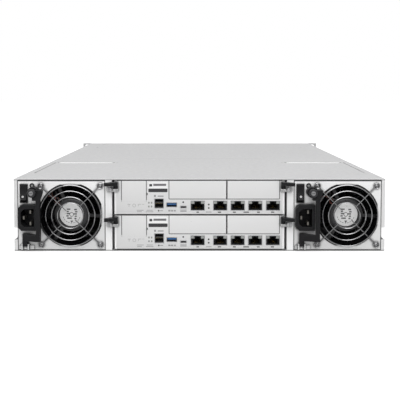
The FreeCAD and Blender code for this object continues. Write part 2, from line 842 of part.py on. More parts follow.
def fan_guard(left):
    """The wire guard: four rings that lie on four spokes, which end in screw loops at the fan's corners."""
    middle = left + fan_across
    spoke_depth = rear - guard_gap - guard_wire
    ring_depth = spoke_depth - 2 * guard_wire
    pieces = [wire_ring(middle, fan_height, radius, ring_depth) for radius in guard_ring_radii]
    corner = fan_screw_pitch / 2
    start = middle + guard_ring_radii[0] - guard_wire
    end = middle + corner * math.sqrt(2) - guard_loop_radius
    for quarter in range(4):
        angle = 45 + 90 * quarter
        spoke = bar("x", start, end, spoke_depth - guard_wire, spoke_depth + guard_wire, fan_height - guard_wire,
                    fan_height + guard_wire)
        spoke.rotate(Vector(middle, 0, fan_height), Vector(0, 1, 0), -angle)
        across = middle + corner * math.copysign(1, math.cos(math.radians(angle)))
        height = fan_height + corner * math.copysign(1, math.sin(math.radians(angle)))
        pieces.append(join([wire_ring(across, height, guard_loop_radius, spoke_depth), spoke]))
    return pieces


def chamfered(low, high, bottom, top, cut):
    """A rectangle whose two corners on its low side are cut off."""
    return [(low + cut, bottom), (high, bottom), (high, top), (low + cut, top), (low, top - cut), (low, bottom + cut)]


def power_inlet(left):
    """The mains inlet: a flanged socket with its three pins."""
    low = left + inlet_low
    high = left + inlet_high
    start = rear - inlet_proud
    flange = prism("y", start, rear, chamfered(low, high, inlet_bottom, inlet_top, inlet_chamfer))
    body = bar("y", rear, rear + inlet_depth, low + case_wall + slide_gap, high - case_wall - slide_gap,
               inlet_bottom + case_wall + slide_gap, inlet_top - case_wall - slide_gap)
    cavity = chamfered(low + inlet_wall, high - inlet_wall, inlet_bottom + inlet_end_wall, inlet_top - inlet_end_wall,
                       cavity_chamfer)
    floor = start + inlet_cavity_depth
    socket = join([flange, body]).cut(prism("y", start - sheet, floor, cavity))
    pins = []
    middle = (inlet_bottom + inlet_top) / 2
    for across, shift in pin_places:
        pin = bar("y", floor - pin_length, floor, left + across - pin_blade_thickness / 2,
                  left + across + pin_blade_thickness / 2, middle + shift - pin_blade_width / 2,
                  middle + shift + pin_blade_width / 2)
        pins.append(pin)
    return [socket] + pins


def switch_housing(left):
    """The rocker switch's well with a raised lip and the bores for the rocker's stubs."""
    middle = left + rocker_across
    half = rocker_half_width + seat_gap
    outer_half = half + switch_wall
    outer_reach = well_reach + switch_wall
    body = bar("y", rear - switch_lip, rear + switch_depth, middle - outer_half, middle + outer_half,
               rocker_height - outer_reach, rocker_height + outer_reach)
    well = bar("y", rear - 2 * switch_lip, rear + switch_depth - switch_wall, middle - half, middle + half,
               rocker_height - well_reach, rocker_height + well_reach)
    bore = rod("x", middle - outer_half - sheet, middle + outer_half + sheet, rear + rocker_pivot_depth, rocker_height,
               stub_radius + running_gap)
    return body.cut(well).cut(bore)


def switch_rocker(left):
    """The rocker: a dished profile extruded across the switch and tilted on its stubs, with its top pressed in."""
    middle = left + rocker_across
    pivot_y = rear + rocker_pivot_depth
    start = middle - rocker_half_width
    top = Vector(start, pivot_y - rocker_rise, rocker_height + rocker_half_length)
    foot = Vector(start, pivot_y - rocker_rise, rocker_height - rocker_half_length)
    dish = Vector(start, pivot_y - rocker_rise + rocker_dish, rocker_height)
    back_top = Vector(start, pivot_y, rocker_height + rocker_half_length / 2)
    back_foot = Vector(start, pivot_y, rocker_height - rocker_half_length / 2)
    belly = Vector(start, pivot_y + rocker_belly, rocker_height)
    edges = [Part.Arc(top, dish, foot).toShape(), Part.LineSegment(foot, back_foot).toShape()]
    edges += [Part.Arc(back_foot, belly, back_top).toShape(), Part.LineSegment(back_top, top).toShape()]
    body = Part.Face(Part.Wire(edges)).extrude(Vector(2 * rocker_half_width, 0, 0))
    body.rotate(Vector(middle, pivot_y, rocker_height), Vector(1, 0, 0), -rocker_tilt)
    stub_reach = rocker_half_width + seat_gap + switch_wall - running_gap
    stub = rod("x", middle - stub_reach, middle + stub_reach, pivot_y, rocker_height, stub_radius)
    return join([body, stub])


def handle_bracket(left):
    """The bright lip at the foot of the faceplate, with two ears that hold the handle's pin."""
    hinge_across, hinge_height = handle_hinge
    pin_y = rear - handle_hinge_proud
    across = left + hinge_across
    lip = bar("y", rear - sheet, rear, left + bracket_low, left + bracket_high, bracket_bottom, bracket_top)
    lip = lip.cut(rod("x", across - handle_knuckle_width, across + handle_knuckle_width, pin_y, hinge_height,
                      handle_knuckle_radius + seat_gap))
    gap = handle_knuckle_width / 2 + seat_gap
    pieces = [lip]
    for sign in (-1, 1):
        low, high = sorted((across + sign * gap, across + sign * (gap + bracket_ear)))
        ear = bar("x", low, high, pin_y - handle_pin_radius, rear, bracket_bottom, hinge_height + handle_pin_radius)
        pieces.append(ear)
    pin = rod("x", across - gap - bracket_ear, across + gap + bracket_ear, pin_y, hinge_height, handle_pin_radius)
    return pieces + [pin]


def handle(left):
    """The black handle: a knuckle on the pin, a foot, an arm beside the inlet and a boss round the thumbscrew."""
    hinge_across, hinge_height = handle_hinge
    pin_y = rear - handle_hinge_proud
    half = handle_knuckle_width / 2
    low = left + hinge_across - half
    high = left + hinge_across + half
    knuckle = rod("x", low, high, pin_y, hinge_height, handle_knuckle_radius)
    claw_back = rear - seat_gap
    claw_rear = pin_y - handle_knuckle_radius
    claw = prism("x", low, high, [(pin_y, hinge_height), (claw_back, hinge_height + handle_knuckle_radius + seat_gap),
                                  (claw_back, handle_foot_top - handle_corner),
                                  (claw_rear, handle_foot_top - handle_corner), (claw_rear, hinge_height)])
    arm_rear = rear - handle_proud
    arm_back = arm_rear + handle_thickness
    foot_outline = [(low, claw_back), (low, claw_rear), (high, claw_rear - handle_corner)]
    foot_outline += [(left + handle_arm_low, arm_rear), (left + handle_arm_high, arm_rear)]
    foot_outline += [(left + handle_arm_high, arm_back), (left + handle_arm_low, arm_back), (high, claw_back)]
    foot = prism("z", handle_foot_bottom, handle_foot_top, foot_outline)
    arm = bar("z", handle_foot_bottom, handle_arm_top, left + handle_arm_low, left + handle_arm_high, arm_rear, arm_back)
    screw_across, screw_height = handle_screw
    boss_rear = rear - handle_boss_proud
    boss = rod("y", boss_rear, rear - handle_boss_back, left + screw_across, screw_height, handle_boss_radius)
    web_low = screw_height - handle_boss_radius - handle_corner
    web = [(left + screw_across, screw_height + handle_boss_radius - handle_corner), (left + screw_across, web_low)]
    web_end = left + handle_arm_high + handle_corner
    web += [(left + handle_arm_low, web_low), (left + handle_arm_high, web_low)]
    web += [(web_end, screw_height), (web_end, screw_height + handle_corner)]
    neck = prism("y", arm_rear, arm_back, web)
    link = bar("z", handle_arm_top - handle_corner, screw_height, left + handle_arm_low, left + handle_arm_high, arm_rear,
               arm_back)
    body = join([knuckle, claw, foot, arm, boss, neck, link])
    body = body.cut(rod("x", low - sheet, high + sheet, pin_y, hinge_height, handle_pin_radius + running_gap))
    hole = rod("y", arm_rear - sheet, rear, left + screw_across, screw_height, handle_screw_shank + seat_gap)
    seat = rod("y", arm_rear - sheet, boss_rear, left + screw_across, screw_height, knob_radius + seat_gap)
    return body.cut(hole).cut(seat)


def handle_knob(left):
    """The thumbscrew that locks the handle to the faceplate."""
    across, height = handle_screw
    face = rear - handle_boss_proud - seat_gap / 3
    reach = plate_inside + case_wall - face
    return thumbscrew(left + across, height, face, knob_radius, knob_length, handle_screw_shank, reach)


def status_ring(left):
    """The bezel of the status light, a ring set in the faceplate."""
    across, height = light_ring
    inner = light_radius + running_gap
    outer = light_ring_radius - running_gap
    outline = [(inner, rear - seat_gap), (outer, rear - seat_gap)]
    outline += [(outer, plate_inside + sheet), (inner, plate_inside + sheet)]
    return turned("y", left + across, height, outline)


# Drive carriers with their disks and latches
rail_side_gap = 0.5
rail_height = 18.0
rail_overhang = 2.0
bezel_gap = 0.6
bezel_side_gap = 0.4
bezel_drop = 0.7
bezel_depth = 14.0
bezel_back = 2.7
bezel_rim = 1.9
grille_slots = 8
grille_slot_width = 8.4
grille_margin = 2.2
disk_lid_height = 20.5
disk_lid_inset = 1.6
latch_hinge_inset = 5.8
latch_hinge_depth = 9.6
latch_pin_radius = 1.2
latch_knuckle_radius = 2.3
latch_half_height = 5.6
latch_thickness = 2.6
latch_bow = 1.4
latch_end_gap = 12.5
catch_width = 8.0

bezel_low = -bezel_drop
bezel_height = row_pitch - bezel_gap
bezel_half = column_pitch / 2 - bezel_side_gap
bezel_rear = front - cage_wall + seat_gap
bezel_front = bezel_rear + bezel_depth
bezel_middle = bezel_low + bezel_height / 2
latch_pivot_x = latch_hinge_inset - bezel_half
latch_pivot_y = bezel_rear + latch_hinge_depth
latch_end_x = bezel_half - latch_end_gap


def carrier():
    """A carrier: two rails and a hollow bezel with a slotted back, a hinge pin and a catch for the latch."""
    rail_outer = (column_pitch - cage_wall) / 2 - rail_side_gap
    rails = []
    for sign in (-1, 1):
        low, high = sorted((sign * disk_width / 2, sign * rail_outer))
        rails.append(bar("y", disk_rear - rail_overhang, bezel_rear, low, high, 0, rail_height))
    body = bar("y", bezel_rear, bezel_front, -bezel_half, bezel_half, bezel_low, bezel_low + bezel_height)
    inner = bezel_half - bezel_rim
    pocket = bar("y", bezel_rear + bezel_back, bezel_front + sheet, -inner, inner, bezel_low + bezel_rim,
                 bezel_low + bezel_height - bezel_rim)
    body = body.cut(pocket)
    span = 2 * (inner - grille_margin)
    pitch = span / grille_slots
    for index in range(grille_slots):
        middle = (index + 0.5) * pitch - span / 2
        slot = bar("y", bezel_rear - sheet, bezel_rear + bezel_back + sheet, middle - grille_slot_width / 2,
                   middle + grille_slot_width / 2, bezel_low + bezel_rim + grille_margin,
                   bezel_low + bezel_height - bezel_rim - grille_margin)
        body = body.cut(slot)
    pin = rod("z", bezel_low + bezel_rim, bezel_low + bezel_height - bezel_rim, latch_pivot_x, latch_pivot_y,
              latch_pin_radius)
    catch = bar("z", bezel_low + bezel_rim, bezel_low + bezel_height - bezel_rim, inner - catch_width, inner,
                bezel_rear + bezel_back, bezel_front - latch_thickness)
    return join([body, pin, catch] + rails)


def disk():
    """A disk drive with a lid set in from its cast base."""
    half = disk_width / 2
    lid = half - disk_lid_inset
    outline = [(-half, 0), (half, 0), (half, disk_lid_height), (lid, disk_lid_height + disk_lid_inset)]
    outline += [(lid, disk_height), (-lid, disk_height), (-lid, disk_lid_height + disk_lid_inset)]
    outline += [(-half, disk_lid_height)]
    return prism("y", disk_rear, disk_rear + disk_length, outline)


def latch():
    """A carrier's latch: a bowed lever on a vertical pin, with a finger tab at its free end."""
    front_y = latch_pivot_y + latch_thickness / 2
    back_y = latch_pivot_y - latch_thickness / 2
    middle = (latch_pivot_x + latch_end_x) / 2
    first = Vector(latch_pivot_x, front_y, bezel_middle - latch_half_height)
    last = Vector(latch_end_x, front_y, first.z)
    crown = Vector(middle, front_y + latch_bow, first.z)
    back_last = Vector(latch_end_x, back_y, first.z)
    back_first = Vector(latch_pivot_x, back_y, first.z)
    edges = [Part.Arc(first, crown, last).toShape(), Part.LineSegment(last, back_last).toShape()]
    edges += [Part.LineSegment(back_last, back_first).toShape(), Part.LineSegment(back_first, first).toShape()]
    lever = Part.Face(Part.Wire(edges)).extrude(Vector(0, 0, 2 * latch_half_height))
    low = bezel_middle - latch_half_height
    high = bezel_middle + latch_half_height
    knuckle = rod("z", low, high, latch_pivot_x, latch_pivot_y, latch_knuckle_radius)
    bore = rod("z", low - sheet, high + sheet, latch_pivot_x, latch_pivot_y, latch_pin_radius + running_gap)
    return join([lever, knuckle]).cut(bore)


# Write every sub-part
save("chassis_tub", [chassis_tub()])
save("top_cover", [top_cover()])
save("bay_frame", [divider(-1), divider(1)] + [controller_shelf(level) for level in range(1, controller_count)])
save("drive_cage", drive_cage())
save("midplane_board", midplane_board())
save("rack_ears", [rack_ear(-1), rack_ear(1)])

for level, floor in controller_floors.items():
    name = "controller_" + level + "_"
    save(name + "tray", [join([controller_tray(floor)] + lever_mount(-1, floor) + lever_mount(1, floor))])
    save(name + "board", controller_board(floor))
    save(name + "covers", controller_covers(floor))
    for hand, sign in (("left", -1), ("right", 1)):
        save(name + "lever_" + hand, [lever_handle(sign, floor)])
        save(name + "screw_" + hand, [controller_screw(sign, floor)])

for hand, left in power_lefts.items():
    name = "power_" + hand + "_"
    save(name + "case", [power_case(left)])
    save(name + "fan_frame", [fan_frame(left)])
    save(name + "fan_rotor", [fan_rotor(left)])
    save(name + "fan_guard", fan_guard(left))
    save(name + "inlet", power_inlet(left) + [switch_housing(left), status_ring(left)])
    save(name + "switch", [switch_rocker(left)])
    save(name + "handle", [handle(left)])
    save(name + "thumbscrew", [handle_knob(left)])

one_carrier = carrier()
one_disk = disk()
one_latch = latch()
for column in range(drive_columns):
    for row in range(drive_rows):
        place = Vector(column_centre(column), 0, disk_bottom + row * row_pitch)
        name = "drive_" + str(column + 1) + "_" + str(row + 1) + "_"
        save(name + "carrier", [one_carrier.translated(place), one_disk.translated(place)])
        save(name + "latch", [one_latch.translated(place)])
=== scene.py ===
# %% [markdown]
# # A 2U storage array, seen from behind
#
# Blender adds what solids leave out, such as wire, moulded plastic, contacts, lamps and finishes. Loading comes
# first, because every piece made below takes its place from the boxes of the loaded nodes.

# %% Load the frame
import json
import math

import bmesh
import bpy
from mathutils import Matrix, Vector


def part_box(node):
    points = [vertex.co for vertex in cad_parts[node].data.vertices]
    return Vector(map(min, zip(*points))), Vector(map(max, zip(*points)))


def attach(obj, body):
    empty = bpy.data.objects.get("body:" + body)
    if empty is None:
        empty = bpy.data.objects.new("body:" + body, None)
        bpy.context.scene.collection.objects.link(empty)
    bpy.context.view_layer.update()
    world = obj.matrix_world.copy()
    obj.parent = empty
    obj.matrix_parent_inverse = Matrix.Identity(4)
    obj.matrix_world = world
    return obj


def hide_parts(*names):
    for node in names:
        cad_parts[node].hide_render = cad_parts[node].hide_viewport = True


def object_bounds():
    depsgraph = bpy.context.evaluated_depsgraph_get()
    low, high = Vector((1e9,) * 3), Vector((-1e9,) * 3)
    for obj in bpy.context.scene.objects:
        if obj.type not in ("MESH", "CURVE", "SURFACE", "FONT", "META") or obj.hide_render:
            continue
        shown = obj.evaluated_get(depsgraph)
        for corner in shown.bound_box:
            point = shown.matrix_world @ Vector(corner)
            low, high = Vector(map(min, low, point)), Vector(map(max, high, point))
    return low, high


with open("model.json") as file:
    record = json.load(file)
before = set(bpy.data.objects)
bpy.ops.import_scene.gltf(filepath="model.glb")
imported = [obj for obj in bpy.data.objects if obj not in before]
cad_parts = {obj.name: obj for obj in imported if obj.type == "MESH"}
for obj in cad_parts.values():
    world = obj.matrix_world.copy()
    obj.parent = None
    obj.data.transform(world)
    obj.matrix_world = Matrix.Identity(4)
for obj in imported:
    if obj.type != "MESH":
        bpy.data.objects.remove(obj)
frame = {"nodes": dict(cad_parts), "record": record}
cad_low, cad_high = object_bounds()
print("solids span", [round(v, 4) for v in cad_high - cad_low], "metres")

MM = 0.001
levels = ("upper", "lower")
hands = ("left", "right")
cover_low, cover_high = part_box("top_cover")
rear = cover_low.y
print("rear face at", round(rear, 4), "and the top at", round(cover_high.z, 4))

# %% [markdown]
# ## Camera
#
# The photograph was taken from behind the array, a little above it, with the lens axis almost level. The upright
# edges stay upright, which a camera shows when it is held level and its picture is shifted down. The numbers come
# from fitting six corners of the chassis to their places in the 400 pixel picture.

# %% Camera
picture_size = 400
focal_pixels = 576.46
camera_place = Vector((0.00062, -0.94205, 0.19123))
camera_tilt = math.radians(2.634)

lens = bpy.data.cameras.new("camera")
lens.sensor_width = 36
lens.lens = focal_pixels / picture_size * lens.sensor_width
lens.shift_y = -0.20
camera = bpy.data.objects.new("camera", lens)
camera.location = camera_place
camera.rotation_euler = (math.pi / 2 - camera_tilt, 0, 0)
bpy.context.scene.collection.objects.link(camera)
bpy.context.scene.camera = camera
print("lens of", round(lens.lens, 1), "mm")

# %% [markdown]
# ## Node helpers
#
# Shader trees and geometry trees are both built from nodes and links. One helper makes a node, sets its options
# and fills its sockets, either with a plain value or with a link from another node, so the trees below read like a
# list of what they contain. Small helpers name the steps that come back often: arithmetic, a ramp, a blend of two
# colours. A last one opens a new tree with named sockets, which is how a shared effect is made once and placed in
# many materials.

# %% Node helpers
node_families = ("ShaderNode", "GeometryNode", "FunctionNode")


def add_node(tree, kind, inputs=None, **options):
    """Makes one node. An input given as a node or as another node's output is linked, any other one is set."""
    family = next(f for f in node_families if hasattr(bpy.types, f + kind))
    made = tree.nodes.new(family + kind)
    for key, value in options.items():
        setattr(made, key, value)
    for key, value in (inputs or {}).items():
        if isinstance(value, bpy.types.Node):
            value = value.outputs[0]
        if isinstance(value, bpy.types.NodeSocket):
            tree.links.new(value, made.inputs[key])
        else:
            made.inputs[key].default_value = value
    return made


def new_tree(name, kind, takes, gives):
    """A node group. Each socket is named with its default number, or with its type if it has no default."""
    tree = bpy.data.node_groups.new(name, kind)
    for way, sockets in (("INPUT", takes), ("OUTPUT", gives)):
        for label, value in sockets.items():
            typed = value if isinstance(value, str) else "Int" if isinstance(value, int) else "Float"
            socket = tree.interface.new_socket(name=label, in_out=way, socket_type="NodeSocket" + typed)
            if typed != value:
                socket.default_value = value
    return tree, tree.nodes.new("NodeGroupInput").outputs, tree.nodes.new("NodeGroupOutput").inputs


def calc(tree, operation, first, second=0.0, third=0.0, **options):
    """One arithmetic step on shader or geometry values."""
    return add_node(tree, "Math", {0: first, 1: second, 2: third}, operation=operation, **options)


def calc_vector(tree, operation, first, **inputs):
    """One arithmetic step on vectors, with the other inputs by name: second, third or scale."""
    keys = {"second": 1, "third": 2, "scale": "Scale"}
    return add_node(tree, "VectorMath", {0: first, **{keys[k]: v for k, v in inputs.items()}}, operation=operation)


def vector(tree, **parts):
    """A vector from its X, Y and Z."""
    return add_node(tree, "CombineXYZ", parts)


def ramp(tree, value, start, end, low=0.0, high=1.0):
    """Runs from low to high while the value runs from start to end."""
    return add_node(tree, "MapRange", {"Value": value, "From Min": start, "From Max": end, "To Min": low,
                                       "To Max": high})


def mix(tree, share, first, second):
    """A number between two."""
    return add_node(tree, "Mix", {"Factor": share, "A": first, "B": second})


def blend(tree, share, first, second):
    """A colour between two. A colour can be a plain (red, green, blue) or another node's output."""
    first, second = ((*c, 1) if isinstance(c, tuple) else c for c in (first, second))
    return add_node(tree, "Mix", {"Factor": share, 6: first, 7: second}, data_type="RGBA").outputs[2]


def parts_of(tree, kind, output):
    """X, Y and Z of what a node puts out, such as the object's own coordinates."""
    return add_node(tree, "SeparateXYZ", {0: add_node(tree, kind).outputs[output]}).outputs


def fill(node, inputs):
    """Sets plain values on a node that is there already."""
    for key, value in inputs.items():
        node.inputs[key].default_value = value
    return node


# %% [markdown]
# ## Shared effects
#
# Real sheet metal is never one flat colour: the rolled surface has a faint grain, the colour drifts a little over a
# hand's width, and cut edges are brighter. Two effects are painted light and shade: painted shade darkens the narrow
# gaps between panels, and a painted sheen lightens the bowed rear panels towards their top. Each effect is a node
# group that puts out only masks and heights, and every finish places it with its own strengths.

# %% Grain of rolled sheet and of moulded plastic
def surface_grain():
    """Fine grain and slow drift of a surface: Drift and Speck are 0 to 1, and Height feeds a Bump node."""
    tree, take, give = new_tree("surface_grain", "ShaderNodeTree", {"Grain Scale": 900.0, "Stretch": 1.0},
                                {"Drift": "Float", "Speck": "Float", "Height": "Float"})
    place = add_node(tree, "TexCoord").outputs["Object"]
    drawn = calc_vector(tree, "MULTIPLY", place, second=vector(tree, X=take["Stretch"], Y=1.0, Z=1.0))
    noises = {"Drift": {"Vector": place, "Scale": 7.0, "Detail": 3.0},
              "Speck": {"Vector": place, "Scale": 160.0, "Detail": 4.0, "Roughness": 0.7},
              "Height": {"Vector": drawn, "Scale": take["Grain Scale"], "Detail": 2.0}}
    for label, inputs in noises.items():
        tree.links.new(add_node(tree, "TexNoise", inputs).outputs["Fac"], give[label])
    return tree


# %% Painted shade in gaps, and bright worn edges
def painted_gap_shade():
    """Painted shade from ambient occlusion: a mask that is 1 in narrow gaps and inner corners, and 0 on open surfaces.
    """
    tree, take, give = new_tree("painted_gap_shade", "ShaderNodeTree", {"Reach": 0.003, "Power": 2.0}, {"Mask": "Float"})
    shade = add_node(tree, "AmbientOcclusion", {"Distance": take["Reach"]}, samples=8)
    kept = calc(tree, "POWER", shade.outputs["AO"], take["Power"])
    tree.links.new(calc(tree, "SUBTRACT", 1.0, kept).outputs[0], give["Mask"])
    return tree


def edge_wear():
    """A mask that is 1 on sharp outer edges, from how far a rounded normal leans from the true one."""
    tree, take, give = new_tree("edge_wear", "ShaderNodeTree", {"Width": 0.0006, "Gain": 6.0}, {"Mask": "Float"})
    rounded = add_node(tree, "Bevel", {"Radius": take["Width"]}, samples=4)
    true_normal = add_node(tree, "NewGeometry").outputs["Normal"]
    lean = calc_vector(tree, "DOT_PRODUCT", rounded, second=true_normal)
    turned = calc(tree, "SUBTRACT", 1.0, lean.outputs["Value"])
    mask = calc(tree, "MULTIPLY", turned, take["Gain"], use_clamp=True)
    tree.links.new(mask.outputs[0], give["Mask"])
    return tree


# %% Painted sheen of bowed panels
# All in metres: where the posts start and end across, the faceplates' foot and spacing, the height over which the
# painted sheen rises, and how far back the rear faces reach.
post_start, post_end = (0.1004, 0.1010), (0.1138, 0.1142)
plate_foot, plate_pitch = 0.0016, 0.0425
rise_from, rise_to = 0.004, 0.086
face_front, face_back = -0.2485, -0.2470


def painted_panel_sheen():
    """Painted sheen of the rear panels, 0 dark to 1 light, standing in for the light that bowed panels mirror: the
    posts are lightest, and each panel fades towards its foot.
    """
    tree, take, give = new_tree("painted_panel_sheen", "ShaderNodeTree", {}, {"Tone": "Float"})
    place = parts_of(tree, "TexCoord", "Object")
    across = calc(tree, "ABSOLUTE", place["X"])
    outer = ramp(tree, across, *post_start)
    module = ramp(tree, across, *post_end)
    share = calc(tree, "DIVIDE", calc(tree, "SUBTRACT", place["Z"], plate_foot), plate_pitch)
    inner = calc(tree, "MULTIPLY", calc(tree, "FRACT", share), 0.50)
    post = mix(tree, module, 1.0, ramp(tree, place["Z"], rise_from, rise_to, 0.18, 1.0))
    behind = ramp(tree, place["Y"], face_back, face_front)
    tone = mix(tree, behind, 0.15, mix(tree, outer, inner, post))
    tree.links.new(tone.outputs[0], give["Tone"])
    return tree


grain_group, panel_sheen_group, gap_shade_group, wear_group = surface_grain(), painted_panel_sheen(), painted_gap_shade(), edge_wear()
print("shared effects:", [g.name for g in (grain_group, panel_sheen_group, gap_shade_group, wear_group)])

# %% [markdown]
# ## Finishes
#
# Each finish is one material. The colour starts from the shade that the photograph shows in plain light, drifts a
# little with the slow noise, darkens in the gaps with painted shade and brightens on worn edges. Faces that look along
# the chassis, such as cut ends and folded flanges, catch more light than the rolled face, so a finish can have a
# brighter colour of its own for them: painted light. Large thin panels bow a little and mirror more light towards
# their top, which the painted panel sheen gives. Metallic and the other constants are set on the shader's own sockets,
# so that they survive an export.

# %% A finish from colour, gloss and wear
finishes = {}


def finish(name, colour, roughness, metallic=0.0, drift=0.05, grain=900.0, stretch=1.0, bump=0.02,
           gap_shade=0.0, gap_shade_reach=0.003, wear=0.0, gloss_drift=0.1, coat=0.0, gloss=0.5,
           end_light_colour=None, sheen_colour=None):
    """Builds a material with the shared effects and keeps it in finishes under its name."""
    material = bpy.data.materials.new(name)
    material.use_nodes = True
    tree = material.node_tree
    shader = tree.nodes["Principled BSDF"]
    fill(shader, {"Metallic": metallic, "Specular IOR Level": gloss, "Coat Weight": coat})
    surface = fill(add_node(tree, "Group", node_tree=grain_group), {"Grain Scale": grain, "Stretch": stretch})
    dark = tuple(c * (1 - drift) for c in colour)
    light = tuple(min(1.0, c * (1 + drift)) for c in colour)
    mixed = blend(tree, surface.outputs["Drift"], dark, light)
    # Painted sheen: the rear panels' colour lightens towards their top and on the posts.
    if sheen_colour:
        mixed = blend(tree, add_node(tree, "Group", node_tree=panel_sheen_group), mixed, sheen_colour)
    # Painted light: faces that look along the chassis get a brighter colour, except near the front.
    if end_light_colour:
        facing = calc(tree, "ABSOLUTE", parts_of(tree, "NewGeometry", "Normal")["Y"])
        behind = ramp(tree, parts_of(tree, "TexCoord", "Object")["Y"], 0.20, 0.15)
        mixed = blend(tree, calc(tree, "MULTIPLY", ramp(tree, facing, 0.6, 0.95), behind), mixed, end_light_colour)
    if wear:
        worn = add_node(tree, "Group", node_tree=wear_group)
        mixed = blend(tree, calc(tree, "MULTIPLY", worn, wear), mixed, (0.9, 0.9, 0.9))
    # Painted shade: ambient occlusion darkens the colour towards near-black in gaps and inner corners.
    if gap_shade:
        shade_mask = fill(add_node(tree, "Group", node_tree=gap_shade_group), {"Reach": gap_shade_reach})
        mixed = blend(tree, calc(tree, "MULTIPLY", shade_mask, gap_shade), mixed, (0.02, 0.02, 0.022))
    tree.links.new(mixed, shader.inputs["Base Color"])
    low, high = max(0.02, roughness - gloss_drift), min(1.0, roughness + gloss_drift)
    spread = ramp(tree, surface.outputs["Speck"], 0.3, 0.7, low, high)
    tree.links.new(spread.outputs[0], shader.inputs["Roughness"])
    relief = add_node(tree, "Bump", {"Height": surface.outputs["Height"], "Strength": bump, "Distance": 0.0002})
    tree.links.new(relief.outputs[0], shader.inputs["Normal"])
    finishes[name] = material


# %% Metal finishes
finish("sheet_steel", (0.505, 0.505, 0.51), 0.42, metallic=0.15, drift=0.03, stretch=0.2, gap_shade=0.9, wear=0.25,
       end_light_colour=(0.74, 0.74, 0.74))
finish("face_steel", (0.65, 0.65, 0.65), 0.36, metallic=0.10, drift=0.02, stretch=0.2, gap_shade=1.0,
       sheen_colour=(0.92, 0.92, 0.92))
finish("inner_steel", (0.48, 0.49, 0.50), 0.35, metallic=0.7, drift=0.08, stretch=0.1, gap_shade=0.6)
finish("bright_steel", (0.52, 0.52, 0.53), 0.30, metallic=0.8, drift=0.05, gap_shade=0.5)
finish("wire_chrome", (0.34, 0.34, 0.345), 0.12, metallic=1.0, drift=0.03, bump=0.0, gloss_drift=0.03)
finish("contact_gold", (0.83, 0.62, 0.25), 0.25, metallic=1.0, drift=0.05, bump=0.0)

# %% Plastic and board finishes
finish("black_plastic", (0.010, 0.010, 0.011), 0.50, drift=0.2, grain=2200.0, bump=0.12, wear=0.05, gloss=0.2)
finish("fan_plastic", (0.006, 0.006, 0.007), 0.30, drift=0.2, grain=1500.0, bump=0.05)
finish("carrier_plastic", (0.045, 0.045, 0.048), 0.45, drift=0.15, grain=2200.0, bump=0.12, wear=0.06)
finish("latch_plastic", (0.13, 0.13, 0.14), 0.40, drift=0.12, grain=2200.0, bump=0.08, wear=0.08)
finish("circuit_board", (0.03, 0.14, 0.07), 0.38, drift=0.15, grain=700.0, bump=0.05, gap_shade=0.4)
finish("port_black", (0.007, 0.007, 0.008), 0.5, drift=0.2, grain=2500.0, bump=0.05, gloss=0.15)
print(len(finishes), "finishes")

# %% [markdown]
# ## The solids keep their own mesh
#
# Most nodes are one material all over, so the loaded mesh is shown as it is and only gets its finish. The record
# lists which finish each node has, and following that list keeps the two descriptions of the object the same.

# %% Give every loaded node its finish
slot_of = {entry["node"]: entry["material_slot"] for entry in frame["record"]["subparts"]}
for name, node in frame["nodes"].items():
    node.data.materials.clear()
    node.data.materials.append(finishes[slot_of[name]])
print(len(slot_of), "nodes have their finish")

# %% [markdown]
# ## Making pieces
#
# Small parts are made by a few helpers. One keeps a mesh as a piece that rides on a body. One turns a profile round
# an axis, as a lathe does, for screws and knobs. One extrudes a flat outline. One copies a loaded node, merges the
# loose triangles, gives each separate solid in it a finish of its own and rounds the edges a little, because
# moulded parts have no knife edges and the narrow highlights along them are what makes them look real.

# %% Keep a mesh as a piece
def smooth_mesh(mesh, angle=32):
    """Smooth shading with sharp edges kept where faces meet at more than the angle."""
    mesh.polygons.foreach_set("use_smooth", [True] * len(mesh.polygons))
    mesh.set_sharp_from_angle(angle=math.radians(angle))


def keep(name, mesh, body, materials=(), replaces=(), rounding=0.0):
    """Links the mesh as an object that moves with the body."""
    for material in materials:
        mesh.materials.append(finishes[material])
    obj = bpy.data.objects.new(name, mesh)
    bpy.context.scene.collection.objects.link(obj)
    if rounding:
        soft = obj.modifiers.new("soft_edges", "BEVEL")
        soft.width = rounding
        soft.segments = 2
        soft.limit_method = "ANGLE"
        soft.angle_limit = math.radians(40)
        soft.harden_normals = True
    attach(obj, body)
    if replaces:
        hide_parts(*replaces)
    return obj


def mesh_from(name, bm, smooth=True):
    """Closes a bmesh into a mesh with its faces pointing outwards."""
    bmesh.ops.remove_doubles(bm, verts=bm.verts, dist=1e-7)
    bmesh.ops.recalc_face_normals(bm, faces=bm.faces)
    mesh = bpy.data.meshes.new(name)
    bm.to_mesh(mesh)
    bm.free()
    if smooth:
        smooth_mesh(mesh)
    return mesh


# %% Skins, and what they are made from
def circle(radius, steps):
    """Points round a circle as (cosine, sine) pairs. A radius of 0 gives one point."""
    return [(radius * math.cos(2 * math.pi * k / steps), radius * math.sin(2 * math.pi * k / steps))
            for k in range(steps if radius else 1)]


def add_skin(bm, rings):
    """Faces between rings of points, one ring to the next. A ring of one point closes an end."""
    rings = [[bm.verts.new(point) for point in ring] for ring in rings]
    steps = max(len(ring) for ring in rings)
    for near, far in zip(rings, rings[1:]):
        for i in range(steps):
            j = (i + 1) % steps
            corners = [near[i % len(near)], near[j % len(near)], far[j % len(far)], far[i % len(far)]]
            unique = list(dict.fromkeys(corners))
            if len(unique) > 2:
                bm.faces.new(unique)
    return rings


def add_turned(bm, centre, profile, steps=32):
    """A lathe round the Y axis: the profile is (radius, y) pairs, and a radius of 0 closes an end."""
    add_skin(bm, [[(centre[0] + b, depth, centre[1] + a) for a, b in circle(radius, steps)]
                  for radius, depth in profile])


